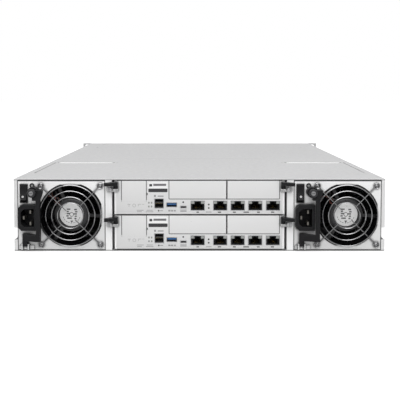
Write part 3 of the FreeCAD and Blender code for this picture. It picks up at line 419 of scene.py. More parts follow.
def add_slab(bm, outline, start, end):
    """A flat outline of (x, z) pairs, extruded along Y from start to end."""
    near = [bm.verts.new((x, start, z)) for x, z in outline]
    far = [bm.verts.new((x, end, z)) for x, z in outline]
    bm.faces.new(near)
    bm.faces.new(reversed(far))
    for i in range(len(outline)):
        j = (i + 1) % len(outline)
        bm.faces.new([near[i], near[j], far[j], far[i]])


def corners_of(left, right, bottom, top):
    """The four corners of a rectangle as (x, z) pairs."""
    return [(left, bottom), (right, bottom), (right, top), (left, top)]


def add_box(bm, low, high):
    """A plain block between two corners."""
    add_slab(bm, corners_of(low[0], high[0], low[2], high[2]), low[1], high[1])


def add_tube(bm, points, radius, steps=8):
    """A round wire through the points, with flat ends."""
    rings = []
    path = [Vector(p) for p in points]
    for i, place in enumerate(path):
        ahead = (path[min(i + 1, len(path) - 1)] - path[max(i - 1, 0)]).normalized()
        side = ahead.cross(Vector((0, 0, 1)) if abs(ahead.z) < 0.9 else Vector((1, 0, 0))).normalized()
        over = side.cross(ahead)
        rings.append([place + (side * a + over * b) * radius for a, b in circle(1.0, steps)])
    rings = add_skin(bm, rings)
    bm.faces.new(rings[0])
    bm.faces.new(reversed(rings[-1]))


def add_rim(bm, left, right, bottom, top, wall, start, end):
    """A rectangular tube along Y, open at both ends, such as a socket's metal shell."""
    outer = corners_of(left, right, bottom, top)
    inner = corners_of(left + wall, right - wall, bottom + wall, top - wall)
    loops = [[bm.verts.new((x, y, z)) for x, z in shape] for y in (start, end) for shape in (outer, inner)]
    near_out, near_in, far_out, far_in = loops
    for i in range(4):
        j = (i + 1) % 4
        bm.faces.new([near_out[i], near_out[j], near_in[j], near_in[i]])
        bm.faces.new([far_out[j], far_out[i], far_in[i], far_in[j]])
        bm.faces.new([near_out[j], near_out[i], far_out[i], far_out[j]])
        bm.faces.new([near_in[i], near_in[j], far_in[j], far_in[i]])


# %% Pieces in one call
def turned(centre, base, profile, steps=24):
    """A turned mesh. The profile is (radius, depth) pairs in millimetres, with the depths counted from base."""
    bm = bmesh.new()
    add_turned(bm, centre, [(radius * MM, base + depth * MM) for radius, depth in profile], steps)
    return mesh_from("turned", bm)


def boxes(*corner_pairs):
    """A mesh of plain blocks, each between two corners."""
    bm = bmesh.new()
    for low, high in corner_pairs:
        add_box(bm, low, high)
    return mesh_from("boxes", bm, False)


def middle_of(low, high):
    """The middle of a box as (x, z)."""
    return (low.x + high.x) / 2, (low.z + high.z) / 2


# %% Dress a copy of a loaded node
def connected(first, neighbours):
    """Everything joined to the first face or vertex, each tagged as it is found."""
    first.tag = True
    found = [first]
    for item in found:
        for other in neighbours(item):
            if not other.tag:
                other.tag = True
                found.append(other)
    return found


def merged_copy(node):
    """A bmesh of a loaded node with its corners merged."""
    bm = bmesh.new()
    bm.from_mesh(frame["nodes"][node].data)
    bmesh.ops.remove_doubles(bm, verts=bm.verts, dist=1e-6)
    return bm


def extent(points):
    """The low and high corners round some points."""
    return tuple(Vector(pick(p[i] for p in points) for i in range(3)) for pick in (min, max))


def dressed(name, node, body, pick, rounding=0.0):
    """A copy of a node in one finish, or with the finish that pick(low, high) names for each solid. None drops it."""
    bm = merged_copy(node)
    bmesh.ops.dissolve_limit(bm, angle_limit=math.radians(0.5), verts=bm.verts, edges=bm.edges)
    used, dropped = [], []
    for first in bm.faces:
        if first.tag:
            continue
        solid = connected(first, lambda face: (other for edge in face.edges for other in edge.link_faces))
        chosen = pick if isinstance(pick, str) else pick(*extent([v.co for face in solid for v in face.verts]))
        if chosen is None:
            dropped += solid
            continue
        if chosen not in used:
            used.append(chosen)
        for face in solid:
            face.material_index = used.index(chosen)
    bmesh.ops.delete(bm, geom=dropped, context="FACES")
    mesh = bpy.data.meshes.new(name)
    bm.to_mesh(mesh)
    bm.free()
    smooth_mesh(mesh)
    return keep(name, mesh, body, used, [node], rounding)


# %% [markdown]
# ## Geometry Nodes for what repeats
#
# A fan has seven blades, a knob has many ribs and a controller has five sockets in a row. One piece is modelled
# and a tree repeats it, either round an axis or along a line, so a change to the one piece or to a count changes
# them all. The result is then made a plain mesh, because the object is exported without its modifiers' inputs.

# %% What all trees share
def geometry_tree(name, takes):
    """A tree that takes geometry, some values and a finish, and gives geometry."""
    return new_tree(name, "GeometryNodeTree", {"Geometry": "Geometry", **takes, "Finish": "Material"},
                    {"Geometry": "Geometry"})


def rows_and_columns(tree, count):
    """For each spot its number in the row and the number of its row."""
    index = add_node(tree, "InputIndex")
    row = calc(tree, "FLOOR", calc(tree, "DIVIDE", index, count))
    return calc(tree, "FLOORED_MODULO", index, count), row


def spots_at(tree, count, place):
    """As many points as count says, each at its place."""
    return add_node(tree, "Points", {"Count": count, "Position": place})


def hand_out(tree, take, give, geometry):
    """Makes copies real, gives them the finish and hands them out."""
    real = add_node(tree, "RealizeInstances", {"Geometry": geometry})
    coloured = add_node(tree, "SetMaterial", {"Geometry": real, "Material": take["Finish"]})
    tree.links.new(coloured.outputs[0], give["Geometry"])
    return tree


def copies_on(tree, spots, instance, **more):
    """A copy of a shape on every point."""
    return add_node(tree, "InstanceOnPoints", {"Points": spots, "Instance": instance, **more})


def joined(tree, *shapes):
    """Several shapes as one."""
    made = add_node(tree, "JoinGeometry")
    for shape in shapes:
        tree.links.new(shape.outputs[0], made.inputs[0])
    return made


# %% Trees that repeat a shape
def copies_round_axis():
    """Repeats its own geometry round the Y axis through Centre."""
    tree, take, give = geometry_tree("copies_round_axis", {"Count": 4, "Centre": "Vector", "First Angle": 0.0})
    back = calc_vector(tree, "SCALE", take["Centre"], scale=-1.0)
    at_axis = add_node(tree, "Transform", {"Geometry": take["Geometry"], "Translation": back})
    step = calc(tree, "DIVIDE", 2 * math.pi, take["Count"])
    angle = calc(tree, "MULTIPLY_ADD", add_node(tree, "InputIndex"), step, take["First Angle"])
    spots = spots_at(tree, take["Count"], take["Centre"])
    return hand_out(tree, take, give, copies_on(tree, spots, at_axis, Rotation=vector(tree, Y=angle)))


def copies_in_grid():
    """Repeats its own geometry in rows and columns: Count and Step go along, Rows and Row Step across."""
    tree, take, give = geometry_tree("copies_in_grid", {"Count": 4, "Step": "Vector", "Rows": 1, "Row Step": "Vector"})
    along, across = rows_and_columns(tree, take["Count"])
    shift = calc_vector(tree, "SCALE", take["Step"], scale=along)
    lift = calc_vector(tree, "SCALE", take["Row Step"], scale=across)
    spots = spots_at(tree, calc(tree, "MULTIPLY", take["Count"], take["Rows"]),
                     calc_vector(tree, "ADD", shift, second=lift))
    return hand_out(tree, take, give, copies_on(tree, spots, take["Geometry"]))


round_axis_tree, grid_tree = copies_round_axis(), copies_in_grid()


# %% Run a tree and keep its mesh
def grown(name, tree, inputs, body, slot=None, replaces=(), mesh=None):
    """Runs a Geometry Nodes tree on a mesh, or on nothing, and keeps the result as a plain piece."""
    start = bpy.data.objects.new(name, mesh or bpy.data.meshes.new(name + "_seed"))
    bpy.context.scene.collection.objects.link(start)
    modifier = start.modifiers.new("grow", "NODES")
    modifier.node_group = tree
    for item in tree.interface.items_tree:
        if item.item_type == "SOCKET" and item.in_out == "INPUT" and item.name in inputs:
            value = inputs[item.name]
            modifier[item.identifier] = finishes[value] if item.name == "Finish" else value
    made = start.evaluated_get(bpy.context.evaluated_depsgraph_get())
    result = bpy.data.meshes.new_from_object(made)
    bpy.data.objects.remove(start)
    smooth_mesh(result)
    return keep(name, result, body, (), replaces)


def in_ring(name, mesh, count, centre, finish_name, body, **more):
    """Copies of a mesh round the Y axis through centre."""
    inputs = {"Count": count, "Centre": (centre[0], 0, centre[1]), "First Angle": 0.0, "Finish": finish_name}
    return grown(name, round_axis_tree, inputs, body, mesh=mesh, **more)


def in_grid(name, mesh, count, step, finish_name, body, rows=1, row_step=(0, 0, 0)):
    """Copies of a mesh along a line, or in rows of such lines."""
    inputs = {"Count": count, "Step": step, "Rows": rows, "Row Step": row_step, "Finish": finish_name}
    return grown(name, grid_tree, inputs, body, mesh=mesh)


# %% [markdown]
# ## Power and cooling modules
#
# Each module shows a fan behind a wire guard, a mains inlet, a rocker switch, a lamp, and a black handle with a
# screw. The two modules are the same way round, so everything is placed from the module's own left edge and from
# the middle of its fan.

# %% Wire guard
def wire_guard_tree():
    """Round wire rings, four spokes and the loops round the corner screws, drawn flat and then stood upright."""
    tree, take, give = geometry_tree("wire_guard", {
        "Inner Ring": 0.0155, "Outer Ring": 0.037, "Ring Count": 4, "Wire Radius": 0.0008, "Corner Reach": 0.05,
        "Loop Radius": 0.0032, "Spoke Depth": 0.0016, "Centre": "Vector"})
    index = add_node(tree, "InputIndex")
    last = calc(tree, "SUBTRACT", take["Ring Count"], 1.0)
    grow = calc(tree, "DIVIDE", calc(tree, "SUBTRACT", take["Outer Ring"], take["Inner Ring"]), last)
    radius = calc(tree, "MULTIPLY_ADD", index, grow, take["Inner Ring"])
    ring = add_node(tree, "CurvePrimitiveCircle", {"Resolution": 72, "Radius": 1.0})
    rings = copies_on(tree, add_node(tree, "Points", {"Count": take["Ring Count"]}), ring, Scale=radius)
    end = vector(tree, X=calc(tree, "SUBTRACT", take["Corner Reach"], take["Loop Radius"]))
    spoke = add_node(tree, "CurvePrimitiveLine", {"Start": vector(tree, X=take["Inner Ring"]), "End": end})
    loop = add_node(tree, "CurvePrimitiveCircle", {"Resolution": 20, "Radius": take["Loop Radius"]})
    loop_out = add_node(tree, "Transform", {"Geometry": loop, "Translation": vector(tree, X=take["Corner Reach"])})
    arm = joined(tree, spoke, loop_out)
    depth = vector(tree, Z=calc(tree, "MULTIPLY", take["Spoke Depth"], -1.0))
    quarter = calc(tree, "MULTIPLY_ADD", index, math.pi / 2, math.pi / 4)
    arms = copies_on(tree, spots_at(tree, 4, depth), arm, Rotation=vector(tree, Z=quarter))
    real = add_node(tree, "RealizeInstances", {"Geometry": joined(tree, rings, arms)})
    section = add_node(tree, "CurvePrimitiveCircle", {"Resolution": 8, "Radius": take["Wire Radius"]})
    wire = add_node(tree, "CurveToMesh", {"Curve": real, "Profile Curve": section, "Fill Caps": True})
    upright = add_node(tree, "Transform", {"Geometry": wire, "Translation": take["Centre"],
                                           "Rotation": (math.pi / 2, 0, 0)})
    return hand_out(tree, take, give, upright)


guard_tree = wire_guard_tree()
guard_corner = 35.75 * MM
guard_ring_low, guard_ring_high = 15.5 * MM, 37.0 * MM
# Two of the spokes reach further in, over the motor's label.
guard_spoke_end = 7.4 * MM
fan_middle = {hand: middle_of(*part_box(f"power_{hand}_fan_rotor")) for hand in hands}


def wire_guard(body, x, z):
    """The guard of one module, in place of the squared wires of the solids."""
    low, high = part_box(f"{body}_fan_guard")
    wire = (high.y - low.y) / 4
    inputs = {"Inner Ring": guard_ring_low, "Outer Ring": guard_ring_high, "Ring Count": 4, "Wire Radius": 0.8 * wire,
              "Corner Reach": guard_corner * math.sqrt(2), "Loop Radius": 3.2 * MM, "Spoke Depth": 2 * wire,
              "Centre": (x, low.y + wire, z), "Finish": "wire_chrome"}
    ends = bmesh.new()
    for turn in (math.radians(135), math.radians(-45)):
        reach = Vector((math.cos(turn), 0, math.sin(turn)))
        middle = Vector((x, low.y + 3 * wire, z))
        add_tube(ends, [middle + reach * guard_ring_low, middle + reach * guard_spoke_end], 0.8 * wire)
    keep(f"{body}_guard_ends", mesh_from("ends", ends), body, ["wire_chrome"])
    return grown(f"{body}_guard_wires", guard_tree, inputs, body, "wire_chrome", [f"{body}_fan_guard"])


for hand in hands:
    made = wire_guard(f"power_{hand}", *fan_middle[hand])
    print(made.name, "with", len(made.data.polygons), "faces")

# %% Corner screws
screw_high = 1.7


def leaned(x, z, outline, lean):
    """An outline of (x, z) pairs in millimetres, leaned by an angle and moved to its place."""
    return [(x + (a * math.cos(lean) - b * math.sin(lean)) * MM, z + (a * math.sin(lean) + b * math.cos(lean)) * MM)
            for a, b in outline]


def cross_mesh(x, z, front, reach, width):
    """The cross recess of a screw, as a thin dark inlay of painted shade just proud of the head."""
    bm = bmesh.new()
    quarter = [(-reach, -width), (-width, -width), (-width, -reach)]
    outline = quarter + [(-b, a) for a, b in quarter] + [(-a, -b) for a, b in quarter] + [(b, -a) for a, b in quarter]
    add_slab(bm, leaned(x, z, outline, math.radians(30)), front - 0.00003, front + 0.0002)
    return mesh_from("cross", bm, False)


for hand in hands:
    corner = tuple(v - guard_corner for v in fan_middle[hand])
    seat = rear + 0.0002
    head = turned(corner, seat, [(0, -screw_high), (1.265, -screw_high), (1.978, -1.224), (2.3, -0.51), (2.3, 0)])
    cross = cross_mesh(*corner, seat - screw_high * MM, 1.2, 0.28)
    for name, mesh, colour in (("screws", head, "bright_steel"), ("crosses", cross, "port_black")):
        in_grid(f"power_{hand}_guard_{name}", mesh, 2, (2 * guard_corner, 0, 0), colour, f"power_{hand}", 2,
                (0, 0, 2 * guard_corner))
print("guard screws at", [round(v, 4) for v in corner])

# %% [markdown]
# ### Fan rotor
#
# The rotor is a moulded hub with seven swept blades. A blade is an aerofoil: at each radius its section is a thin
# curved plate, set at a steeper angle near the hub than at the tip. Modelling one section as a formula and lofting
# it from hub to tip gives that twist, and Geometry Nodes copy the blade round the hub.

# %% One swept blade
blade_count = 7
blade_root, blade_tip = 18.6 * MM, 37.0 * MM
root_pitch, tip_pitch = math.radians(52), math.radians(34)
root_chord, tip_chord = 17.0 * MM, 25.0 * MM
blade_camber, blade_sweep = 0.09, math.radians(22)
blade_half_thick = 0.85 * MM


def blade_point(across, share, side, x, z, middle_y):
    """A point of the blade: share 0 to 1 runs from hub to tip, across -0.5 to 0.5 from edge to edge."""
    radius = blade_root + (blade_tip - blade_root) * share
    pitch = root_pitch + (tip_pitch - root_pitch) * share
    chord = root_chord + (tip_chord - root_chord) * share
    bulge = 1 - (2 * across) ** 2
    thick = side * blade_half_thick * math.sqrt(max(0.0, bulge)) * (1 - 0.45 * share)
    along, rise = across * chord, blade_camber * chord * bulge + thick
    arc = (along * math.cos(pitch) - rise * math.sin(pitch)) / radius + blade_sweep * share ** 1.5
    y = middle_y + along * math.sin(pitch) + rise * math.cos(pitch)
    return (x + radius * math.sin(arc), y, z + radius * math.cos(arc))


def blade_mesh(x, z, middle_y, stations=8, divisions=7):
    """The closed skin of one blade."""
    bm = bmesh.new()
    loop = [(-0.5 + i / divisions, 1) for i in range(divisions + 1)]
    loop += [(0.5 - i / divisions, -1) for i in range(1, divisions)]
    rings = add_skin(bm, [[blade_point(a, s / (stations - 1), side, x, z, middle_y) for a, side in loop]
                          for s in range(stations)])
    bm.faces.new(rings[0])
    bm.faces.new(reversed(rings[-1]))
    return mesh_from("blade", bm)


for hand in hands:
    body = f"power_{hand}_fan_rotor"
    x, z = fan_middle[hand]
    # The node's box starts at the shaft, and the hub starts about 6 mm behind it.
    hub_start, hub_end = rear + 11.2 * MM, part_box(body)[1].y
    hub_long = (hub_end - hub_start) / MM
    made = in_ring(f"power_{hand}_fan_blades", blade_mesh(x, z, (hub_start + hub_end) / 2 + 1.0 * MM), blade_count,
                   (x, z), "fan_plastic", body, slot="fan_plastic", replaces=[body])
    hub = turned((x, z), hub_start, [(0, 0), (14, 0), (17.6, 0.8), (19, 3), (19, hub_long), (0, hub_long)], 48)
    keep(f"power_{hand}_fan_hub", hub, body, ["fan_plastic"])
    print(made.name, "blades reach", round(max(v.co.x for v in made.data.vertices) - x, 4))

# %% [markdown]
# ### Motor, its bare label and its leads
#
# The motor sits in front of the hub on three struts. Its round label is left bare, because this object carries no
# maker's print: brushed foil with a slight dish gives the silver disc that the photograph shows. A ring of softer
# grey runs round it, and the motor's twisted leads follow the upper left strut.

# %% Brushed foil and lead colours
finish("label_foil", (0.71, 0.71, 0.71), 0.34, metallic=0.25, drift=0.06, grain=260.0, bump=0.25)
finish("motor_ring", (0.040, 0.040, 0.042), 0.34, metallic=0.2, drift=0.1, bump=0.03)
leads = {"lead_red": (0.09, 0.018, 0.012), "lead_brown": (0.06, 0.025, 0.018), "lead_black": (0.015, 0.015, 0.015)}
for name, colour in leads.items():
    finish(name, colour, 0.4, drift=0.1, bump=0.0)

# %% Motor face
label_profile = [(0, -0.25), (12, -0.15), (14.4, -0.05), (14.7, 0.3), (0, 0.3)]
ring_profile = [(15.2, 0.4), (15.2, -0.6), (16.4, -1.0), (18.0, -0.8), (20.4, 1.2), (20.6, 3), (15.2, 3)]


def motor_face(body, x, z):
    """The silver disc, the grey ring round it, and three leads."""
    base = rear + 5.0 * MM
    keep(f"{body}_motor_label", turned((x, z), base, label_profile, 48), body, ["label_foil"])
    keep(f"{body}_motor_ring", turned((x, z), base, ring_profile, 64), body, ["motor_ring"])
    for index, colour in enumerate(leads):
        bm = bmesh.new()
        points = []
        for step in range(15):
            share = step / 14
            wave = share * 9 + index * 2.1
            reach = (19.5 + 19.0 * share) * MM
            swing = math.radians(139 + 4 * math.sin(wave) - 5 * index)
            depth = base + (0.4 + 3.2 * share + 0.6 * math.cos(wave)) * MM
            points.append((x + reach * math.cos(swing), depth, z + reach * math.sin(swing)))
        add_tube(bm, points, 0.65 * MM)
        keep(f"{body}_fan_{colour}", mesh_from("lead", bm), body, [colour])


for hand in hands:
    motor_face(f"power_{hand}", *fan_middle[hand])

# %% Pressed marks on the label
finish("mark_soft", (0.07, 0.07, 0.072), 0.5, drift=0.2, bump=0.0)
# Height above the middle, distance from it and length of each dash, in millimetres.
label_dashes = [(6.4, -3.6, 4.4), (6.0, 4.8, 3.4), (3.6, -4.6, 2.6), (3.2, 5.6, 3.0), (1.0, -4.0, 3.8),
                (0.6, 4.4, 4.2), (-1.8, -5.0, 2.8), (-2.2, 5.0, 2.6), (-4.6, -2.6, 5.6), (-5.0, 4.6, 2.4)]


def label_marks(body, x, z):
    """Plain dashes, a ring and a small triangle, so the disc has the broken tone of a pressed label."""
    front = rear + 4.72 * MM
    bm = bmesh.new()
    dashes = [(across, up, long, 1.6, 0.0) for up, across, long in label_dashes]
    for step in range(9):
        turn = math.radians(200 + 17 * step)
        dashes.append((10.6 * math.cos(turn), 10.6 * math.sin(turn), 2.0, 0.5, turn + math.pi / 2))
    for across, up, long, tall, lean in dashes:
        outline = corners_of(-long / 2, long / 2, -tall / 2, tall / 2)
        add_slab(bm, leaned(x + across * MM, z + up * MM, outline, lean), front, front + 0.6 * MM)
    add_slab(bm, leaned(x, z, [(-1.7, -7.6), (0.1, -10.4), (1.9, -7.6)], 0), front, front + 0.6 * MM)
    add_turned(bm, (x, z), [(2.0 * MM, front + 0.6 * MM), (2.0 * MM, front), (2.7 * MM, front),
                            (2.7 * MM, front + 0.6 * MM)], 24)
    return keep(f"{body}_label_marks", mesh_from("marks", bm, False), body, ["mark_soft"])


for hand in hands:
    print(label_marks(f"power_{hand}", *fan_middle[hand]).name)

# %% [markdown]
# ### Inlet, switch, lamp and handle
#
# The inlet's housing, its three pins, the switch's frame and the lamp's bezel were drawn as separate solids, so a
# dressed copy gives each its own finish by size: only the pins are thin and long. The switch gets the usual small
# ring mark, and the lamp a pale lens.

# %% Mains inlet and switch
finish("pin_brass", (0.20, 0.19, 0.17), 0.35, metallic=0.9, drift=0.05, bump=0.0)
finish("mark_white", (0.80, 0.80, 0.80), 0.5, drift=0.03, bump=0.0)
finish("lens_clear", (0.26, 0.265, 0.26), 0.18, drift=0.05, bump=0.0, coat=0.4)


def inlet_finish(low, high):
    """Pins are thin, long solids, and everything else in the node is moulded black."""
    size = high - low
    return "pin_brass" if max(size.x, size.z) < 6.5 * MM and size.y > 8 * MM else "black_plastic"


for hand in hands:
    node = f"power_{hand}_inlet"
    made = dressed(f"{node}_housing", node, f"power_{hand}", inlet_finish, 0.25 * MM)
    print(made.name, [m.name for m in made.data.materials])

# %% Switch rocker with its ring mark
for hand in hands:
    body = f"power_{hand}_switch"
    low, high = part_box(body)
    dressed(f"{body}_rocker", body, body, "black_plastic", 0.3 * MM)
    place = (middle_of(low, high)[0], low.z + (high.z - low.z) * 0.24)
    mark = turned(place, low.y, [(0.55, -0.02), (1.25, -0.02), (1.25, 0.48), (0.55, 0.48), (0.55, -0.02)], 20)
    keep(f"{body}_mark", mark, body, ["mark_white"])

# %% Black handle, its knurled knob and the lamp's lens
finish("grip_black", (0.030, 0.030, 0.032), 0.4, drift=0.2, bump=0.0, gloss=0.4)
finish("screw_grey", (0.24, 0.24, 0.245), 0.35, drift=0.1, bump=0.0)
# The lamp's place from the module's left edge and from the ground, and turned profiles as (radius, depth).
lamp_place = (17.6 * MM, 79.8 * MM)
lens_profile = [(0, -0.55), (0.9, -0.5), (1.5, -0.32), (1.5, 0.2)]
centre_profile = [(0, 0.3), (2.3, 0.3), (2.7, 0.6), (2.7, 1.2), (0, 1.2)]
knob_ribs = 28


def lens_and_knob(body):
    """The lamp's pale lens, and grips round the knob with a bright screw in its middle."""
    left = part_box(f"{body}_case")[0].x
    lens = turned((left + lamp_place[0], lamp_place[1]), rear, lens_profile)
    keep(f"{body}_lamp_lens", lens, body, ["lens_clear"])
    knob = f"{body}_thumbscrew"
    low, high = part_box(knob)
    x, z = middle_of(low, high)
    reach, deep = (high.x - low.x) / 2 / MM, (high.y - low.y) / MM
    grip = boxes(((x - 0.28 * MM, low.y + 0.8 * MM, z + (reach - 0.25) * MM),
                  (x + 0.28 * MM, low.y + 5.6 * MM, z + reach * MM)))
    in_ring(f"{knob}_grips", grip, knob_ribs, (x, z), "grip_black", knob)
    skin = turned((x, z), low.y, [(0, 0.9), (3.0, 0.9), (3.3, 0.1), (3.5, 0), (reach - 0.8, 0), (reach - 0.25, 0.6),
                                  (reach - 0.25, 5.7), (reach - 1.0, 6.5), (1.8, 6.5), (1.8, deep), (0, deep)], 48)
    keep(f"{knob}_skin", skin, knob, ["grip_black"], (knob,))
    keep(f"{knob}_centre", turned((x, z), low.y, centre_profile, 32), knob, ["screw_grey"])
    # Painted shade: the slot across the screw's head is a thin dark inlay.
    slot = boxes(((x - 1.7 * MM, low.y + 0.25 * MM, z - 0.25 * MM), (x + 1.7 * MM, low.y + 0.5 * MM, z + 0.25 * MM)))
    return keep(f"{knob}_slot", slot, knob, ["port_black"])


for hand in hands:
    body = f"power_{hand}_handle"
    dressed(f"{body}_arm", body, body, "black_plastic", 0.35 * MM)
    print(lens_and_knob(f"power_{hand}").name)


# %% [markdown]
# ## Controllers
#
# The two controllers are the same, one above the other. Their ports stand in a row along the foot of each faceplate.
# The network sockets' places are measured on the loaded solids, so a socket that moves in the drawing takes its
# dressing with it; the other ports are placed in millimetres from the faceplate's lower edge, which is measured too.
# The plain port blocks are dropped from the dressed copy, and a metal shell, a dark or blue core and contacts are
# built in their openings.

# %% Measure the separate solids of a node
def solid_boxes(node):
    """The (low, high) corners of each separate solid of a loaded node."""
    bm = merged_copy(node)
    found = []
    for first in bm.verts:
        if not first.tag:
            solid = connected(first, lambda vert: (edge.other_vert(vert) for edge in vert.link_edges))
            found.append(extent([v.co for v in solid]))
    bm.free()
    return sorted(found, key=lambda box: tuple(box[0]))


# Ports start within port_start of the rear face. A network socket is wider than socket_wide, other ports are not.
port_start, port_wide, socket_wide = 3 * MM, 30 * MM, 16 * MM


def at_rear(box):
    """A port is a small solid that starts behind the faceplate. The board does too, but it is far wider."""
    return box[0].y < rear + port_start and box[1].x - box[0].x < port_wide


port_rows = {level: [b for b in solid_boxes(f"controller_{level}_board") if at_rear(b)] for level in levels}
network_rows = {level: [b for b in row if b[1].x - b[0].x > socket_wide] for level, row in port_rows.items()}
plate_high = 40.7 * MM
base_of = {level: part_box(f"controller_{level}_tray")[1].z - plate_high for level in levels}
print("ports per controller:", len(port_rows["upper"]), "of which network sockets:", len(network_rows["upper"]))

# %% Port finishes
finish("shell_nickel", (0.50, 0.50, 0.51), 0.28, metallic=0.8, drift=0.08, bump=0.0, gap_shade=0.5, gap_shade_reach=0.001)
finish("usb_blue", (0.035, 0.125, 0.32), 0.35, drift=0.1, bump=0.0)
finish("usb_navy", (0.012, 0.040, 0.13), 0.4, drift=0.1, bump=0.0)
finish("lamp_window", (0.30, 0.31, 0.30), 0.25, drift=0.08, bump=0.0, coat=0.5)
finish("lamp_dark", (0.05, 0.055, 0.05), 0.25, drift=0.1, bump=0.0, coat=0.5)
finish("label_white", (0.86, 0.86, 0.86), 0.55, drift=0.01, bump=0.0)
finish("print_dark", (0.035, 0.035, 0.037), 0.5, drift=0.1, bump=0.0)
finish("print_grey", (0.16, 0.16, 0.165), 0.5, drift=0.1, bump=0.0)
finish("print_soft", (0.30, 0.30, 0.305), 0.5, drift=0.1, bump=0.0)
finish("print_faint", (0.50, 0.50, 0.50), 0.5, drift=0.1, bump=0.0)
finish("sink_aluminium", (0.62, 0.63, 0.64), 0.3, metallic=0.85, drift=0.08, stretch=0.1, gap_shade=0.5)


# %% Dress the board
def board_finish(low, high):
    """Names a board solid's finish from its size and place. None drops it."""
    size = high - low
    if size.x > 150 * MM or size.x < 5 * MM:
        return "circuit_board"
    if low.y < rear + port_start:
        return "port_black" if size.x > socket_wide else None
    return "sink_aluminium" if size.y > 60 * MM else "port_black"


for level in levels:
    node = f"controller_{level}_board"
    dressed(f"{node}_dressed", node, f"controller_{level}", board_finish)

# %% [markdown]
# ### Network sockets
#
# The socket's dark opening is part of the solid. What gives it life is small: the bright rim of the shield, two
# lamp windows in the upper corners, and eight spring contacts. The first contact of every socket is one mesh, and
# the grid tree repeats that mesh eight times, so all forty contacts of a controller come from five wires.

# %% Socket rims, lamps and contacts
contact_count = 8
contact_pitch = 1.02 * MM


def network_sockets(level):
    """Rims, lamp windows and contacts of one controller's five sockets."""
    body = f"controller_{level}"
    rims, lamps, wires = bmesh.new(), bmesh.new(), bmesh.new()
    for low, high in network_rows[level]:
        add_rim(rims, low.x - 0.25 * MM, high.x + 0.25 * MM, low.z - 0.25 * MM, high.z + 0.25 * MM, 0.6 * MM,
                rear - 0.05 * MM, rear + 1.0 * MM)
        for left, right in ((low.x + 0.6 * MM, low.x + 4.4 * MM), (high.x - 4.4 * MM, high.x - 0.6 * MM)):
            add_box(lamps, (left, rear + 0.1 * MM, high.z - 3.6 * MM), (right, rear + 1.2 * MM, high.z - 0.6 * MM))
        x = (low.x + high.x) / 2 - contact_pitch * (contact_count - 1) / 2
        bends = ((1.2, 2.6), (5.0, 5.0), (11.0, 5.8))
        add_tube(wires, [(x, rear + y * MM, low.z + z * MM) for y, z in bends], 0.22 * MM, 6)
    keep(f"{body}_network_rims", mesh_from("rims", rims, False), body, ["shell_nickel"])
    keep(f"{body}_network_lamps", mesh_from("lamps", lamps, False), body, ["lamp_window"])
    return in_grid(f"{body}_network_contacts", mesh_from("wires", wires), contact_count, (contact_pitch, 0, 0),
                   "contact_gold", body)


for level in levels:
    print(network_sockets(level).name)

# %% [markdown]
# ### Storage, serial and service ports
#
# These three are metal shells round a core. The blue core is how such ports are told apart, so the colour is kept.
# A shell is a thin rim that stands a tenth of a millimetre out of the faceplate, with a dark back wall and a tongue.

# %% Shelled ports
# Left, right, bottom and top in millimetres, the finishes of core and tongue, where the tongue starts and ends as
# shares of the height, and the shell's wall.
shelled_ports = {"storage_port": ((-54.7, -43.1, 6.9, 18.9), "port_black", "print_dark", 0.52, 0.66, 0.5),
                 "serial_port": ((-40.0, -27.2, 8.4, 14.05), "usb_navy", "usb_blue", 0.45, 0.88, 0.35),
                 "service_port": ((-23.3, -15.6, 7.0, 10.05), "port_black", "print_dark", 0.40, 0.62, 0.45)}
port_reach = 17.0 * MM


def port_shell(name, body, base, place, core, tongue, tongue_low, tongue_high, wall):
    """A metal shell in the opening, a core at its back and a tongue at the given share of its height."""
    left, right, bottom, top = (v * MM for v in place)
    bottom, top = bottom + base, top + base
    shell = bmesh.new()
    add_rim(shell, left + 0.1 * MM, right - 0.1 * MM, bottom + 0.1 * MM, top - 0.1 * MM, wall * MM, rear - 0.1 * MM,
            rear + port_reach)
    keep(f"{body}_{name}_shell", mesh_from("shell", shell, False), body, ["shell_nickel"])
    inset = (wall + 0.1) * MM
    back = boxes(((left + inset, rear + port_reach * 0.6, bottom + inset),
                  (right - inset, rear + port_reach, top - inset)))
    keep(f"{body}_{name}_core", back, body, [core])
    height = top - bottom - 2 * inset
    slab = boxes(((left + inset + 0.5 * MM, rear + 1.0 * MM, bottom + inset + height * tongue_low),
                  (right - inset - 0.5 * MM, rear + port_reach * 0.7, bottom + inset + height * tongue_high)))
    keep(f"{body}_{name}_tongue", slab, body, [tongue], rounding=0.15 * MM)


for level in levels:
    body, base = f"controller_{level}", base_of[level]
    for name, values in shelled_ports.items():
        port_shell(name, body, base, *values)
    pads = boxes(((-53.6 * MM, rear + 1.3 * MM, base + 12.9 * MM), (-53.1 * MM, rear + 9 * MM, base + 13.05 * MM)))
    in_grid(f"{body}_storage_pads", pads, 10, (0.98 * MM, 0, 0), "contact_gold", body)
print("three shelled ports in each controller")

# %% [markdown]
# ### Lamps, label and port marks
#
# Small flat things sit just proud of the faceplate, a few hundredths of a millimetre, so they never share a plane
# with it. The label is plain white with a dark rounded bar, and the marks under the ports are plain dashes: they
# keep the rhythm of the printed faceplate without any lettering.

# %% Flat marks on a faceplate
def rounded_outline(left, right, bottom, top, radius, steps=5):
    """A rectangle with round corners, as (x, z) points."""
    corners = [(right - radius, top - radius, 0), (left + radius, top - radius, 90),
               (left + radius, bottom + radius, 180), (right - radius, bottom + radius, 270)]
    return [(x + radius * math.cos(math.radians(start + 90 * i / steps)),
             z + radius * math.sin(math.radians(start + 90 * i / steps)))
            for x, z, start in corners for i in range(steps + 1)]


def plate_mark(base, place, radius, lift):
    """A thin rounded patch on the faceplate, placed in millimetres from its lower edge."""
    bm = bmesh.new()
    left, right, bottom, top = place
    low = base / MM
    outline = [(x * MM, z * MM) for x, z in rounded_outline(left, right, low + bottom, low + top, radius)]
    add_slab(bm, outline, rear - lift * MM, rear + 0.3 * MM)
    return mesh_from("mark", bm, False)


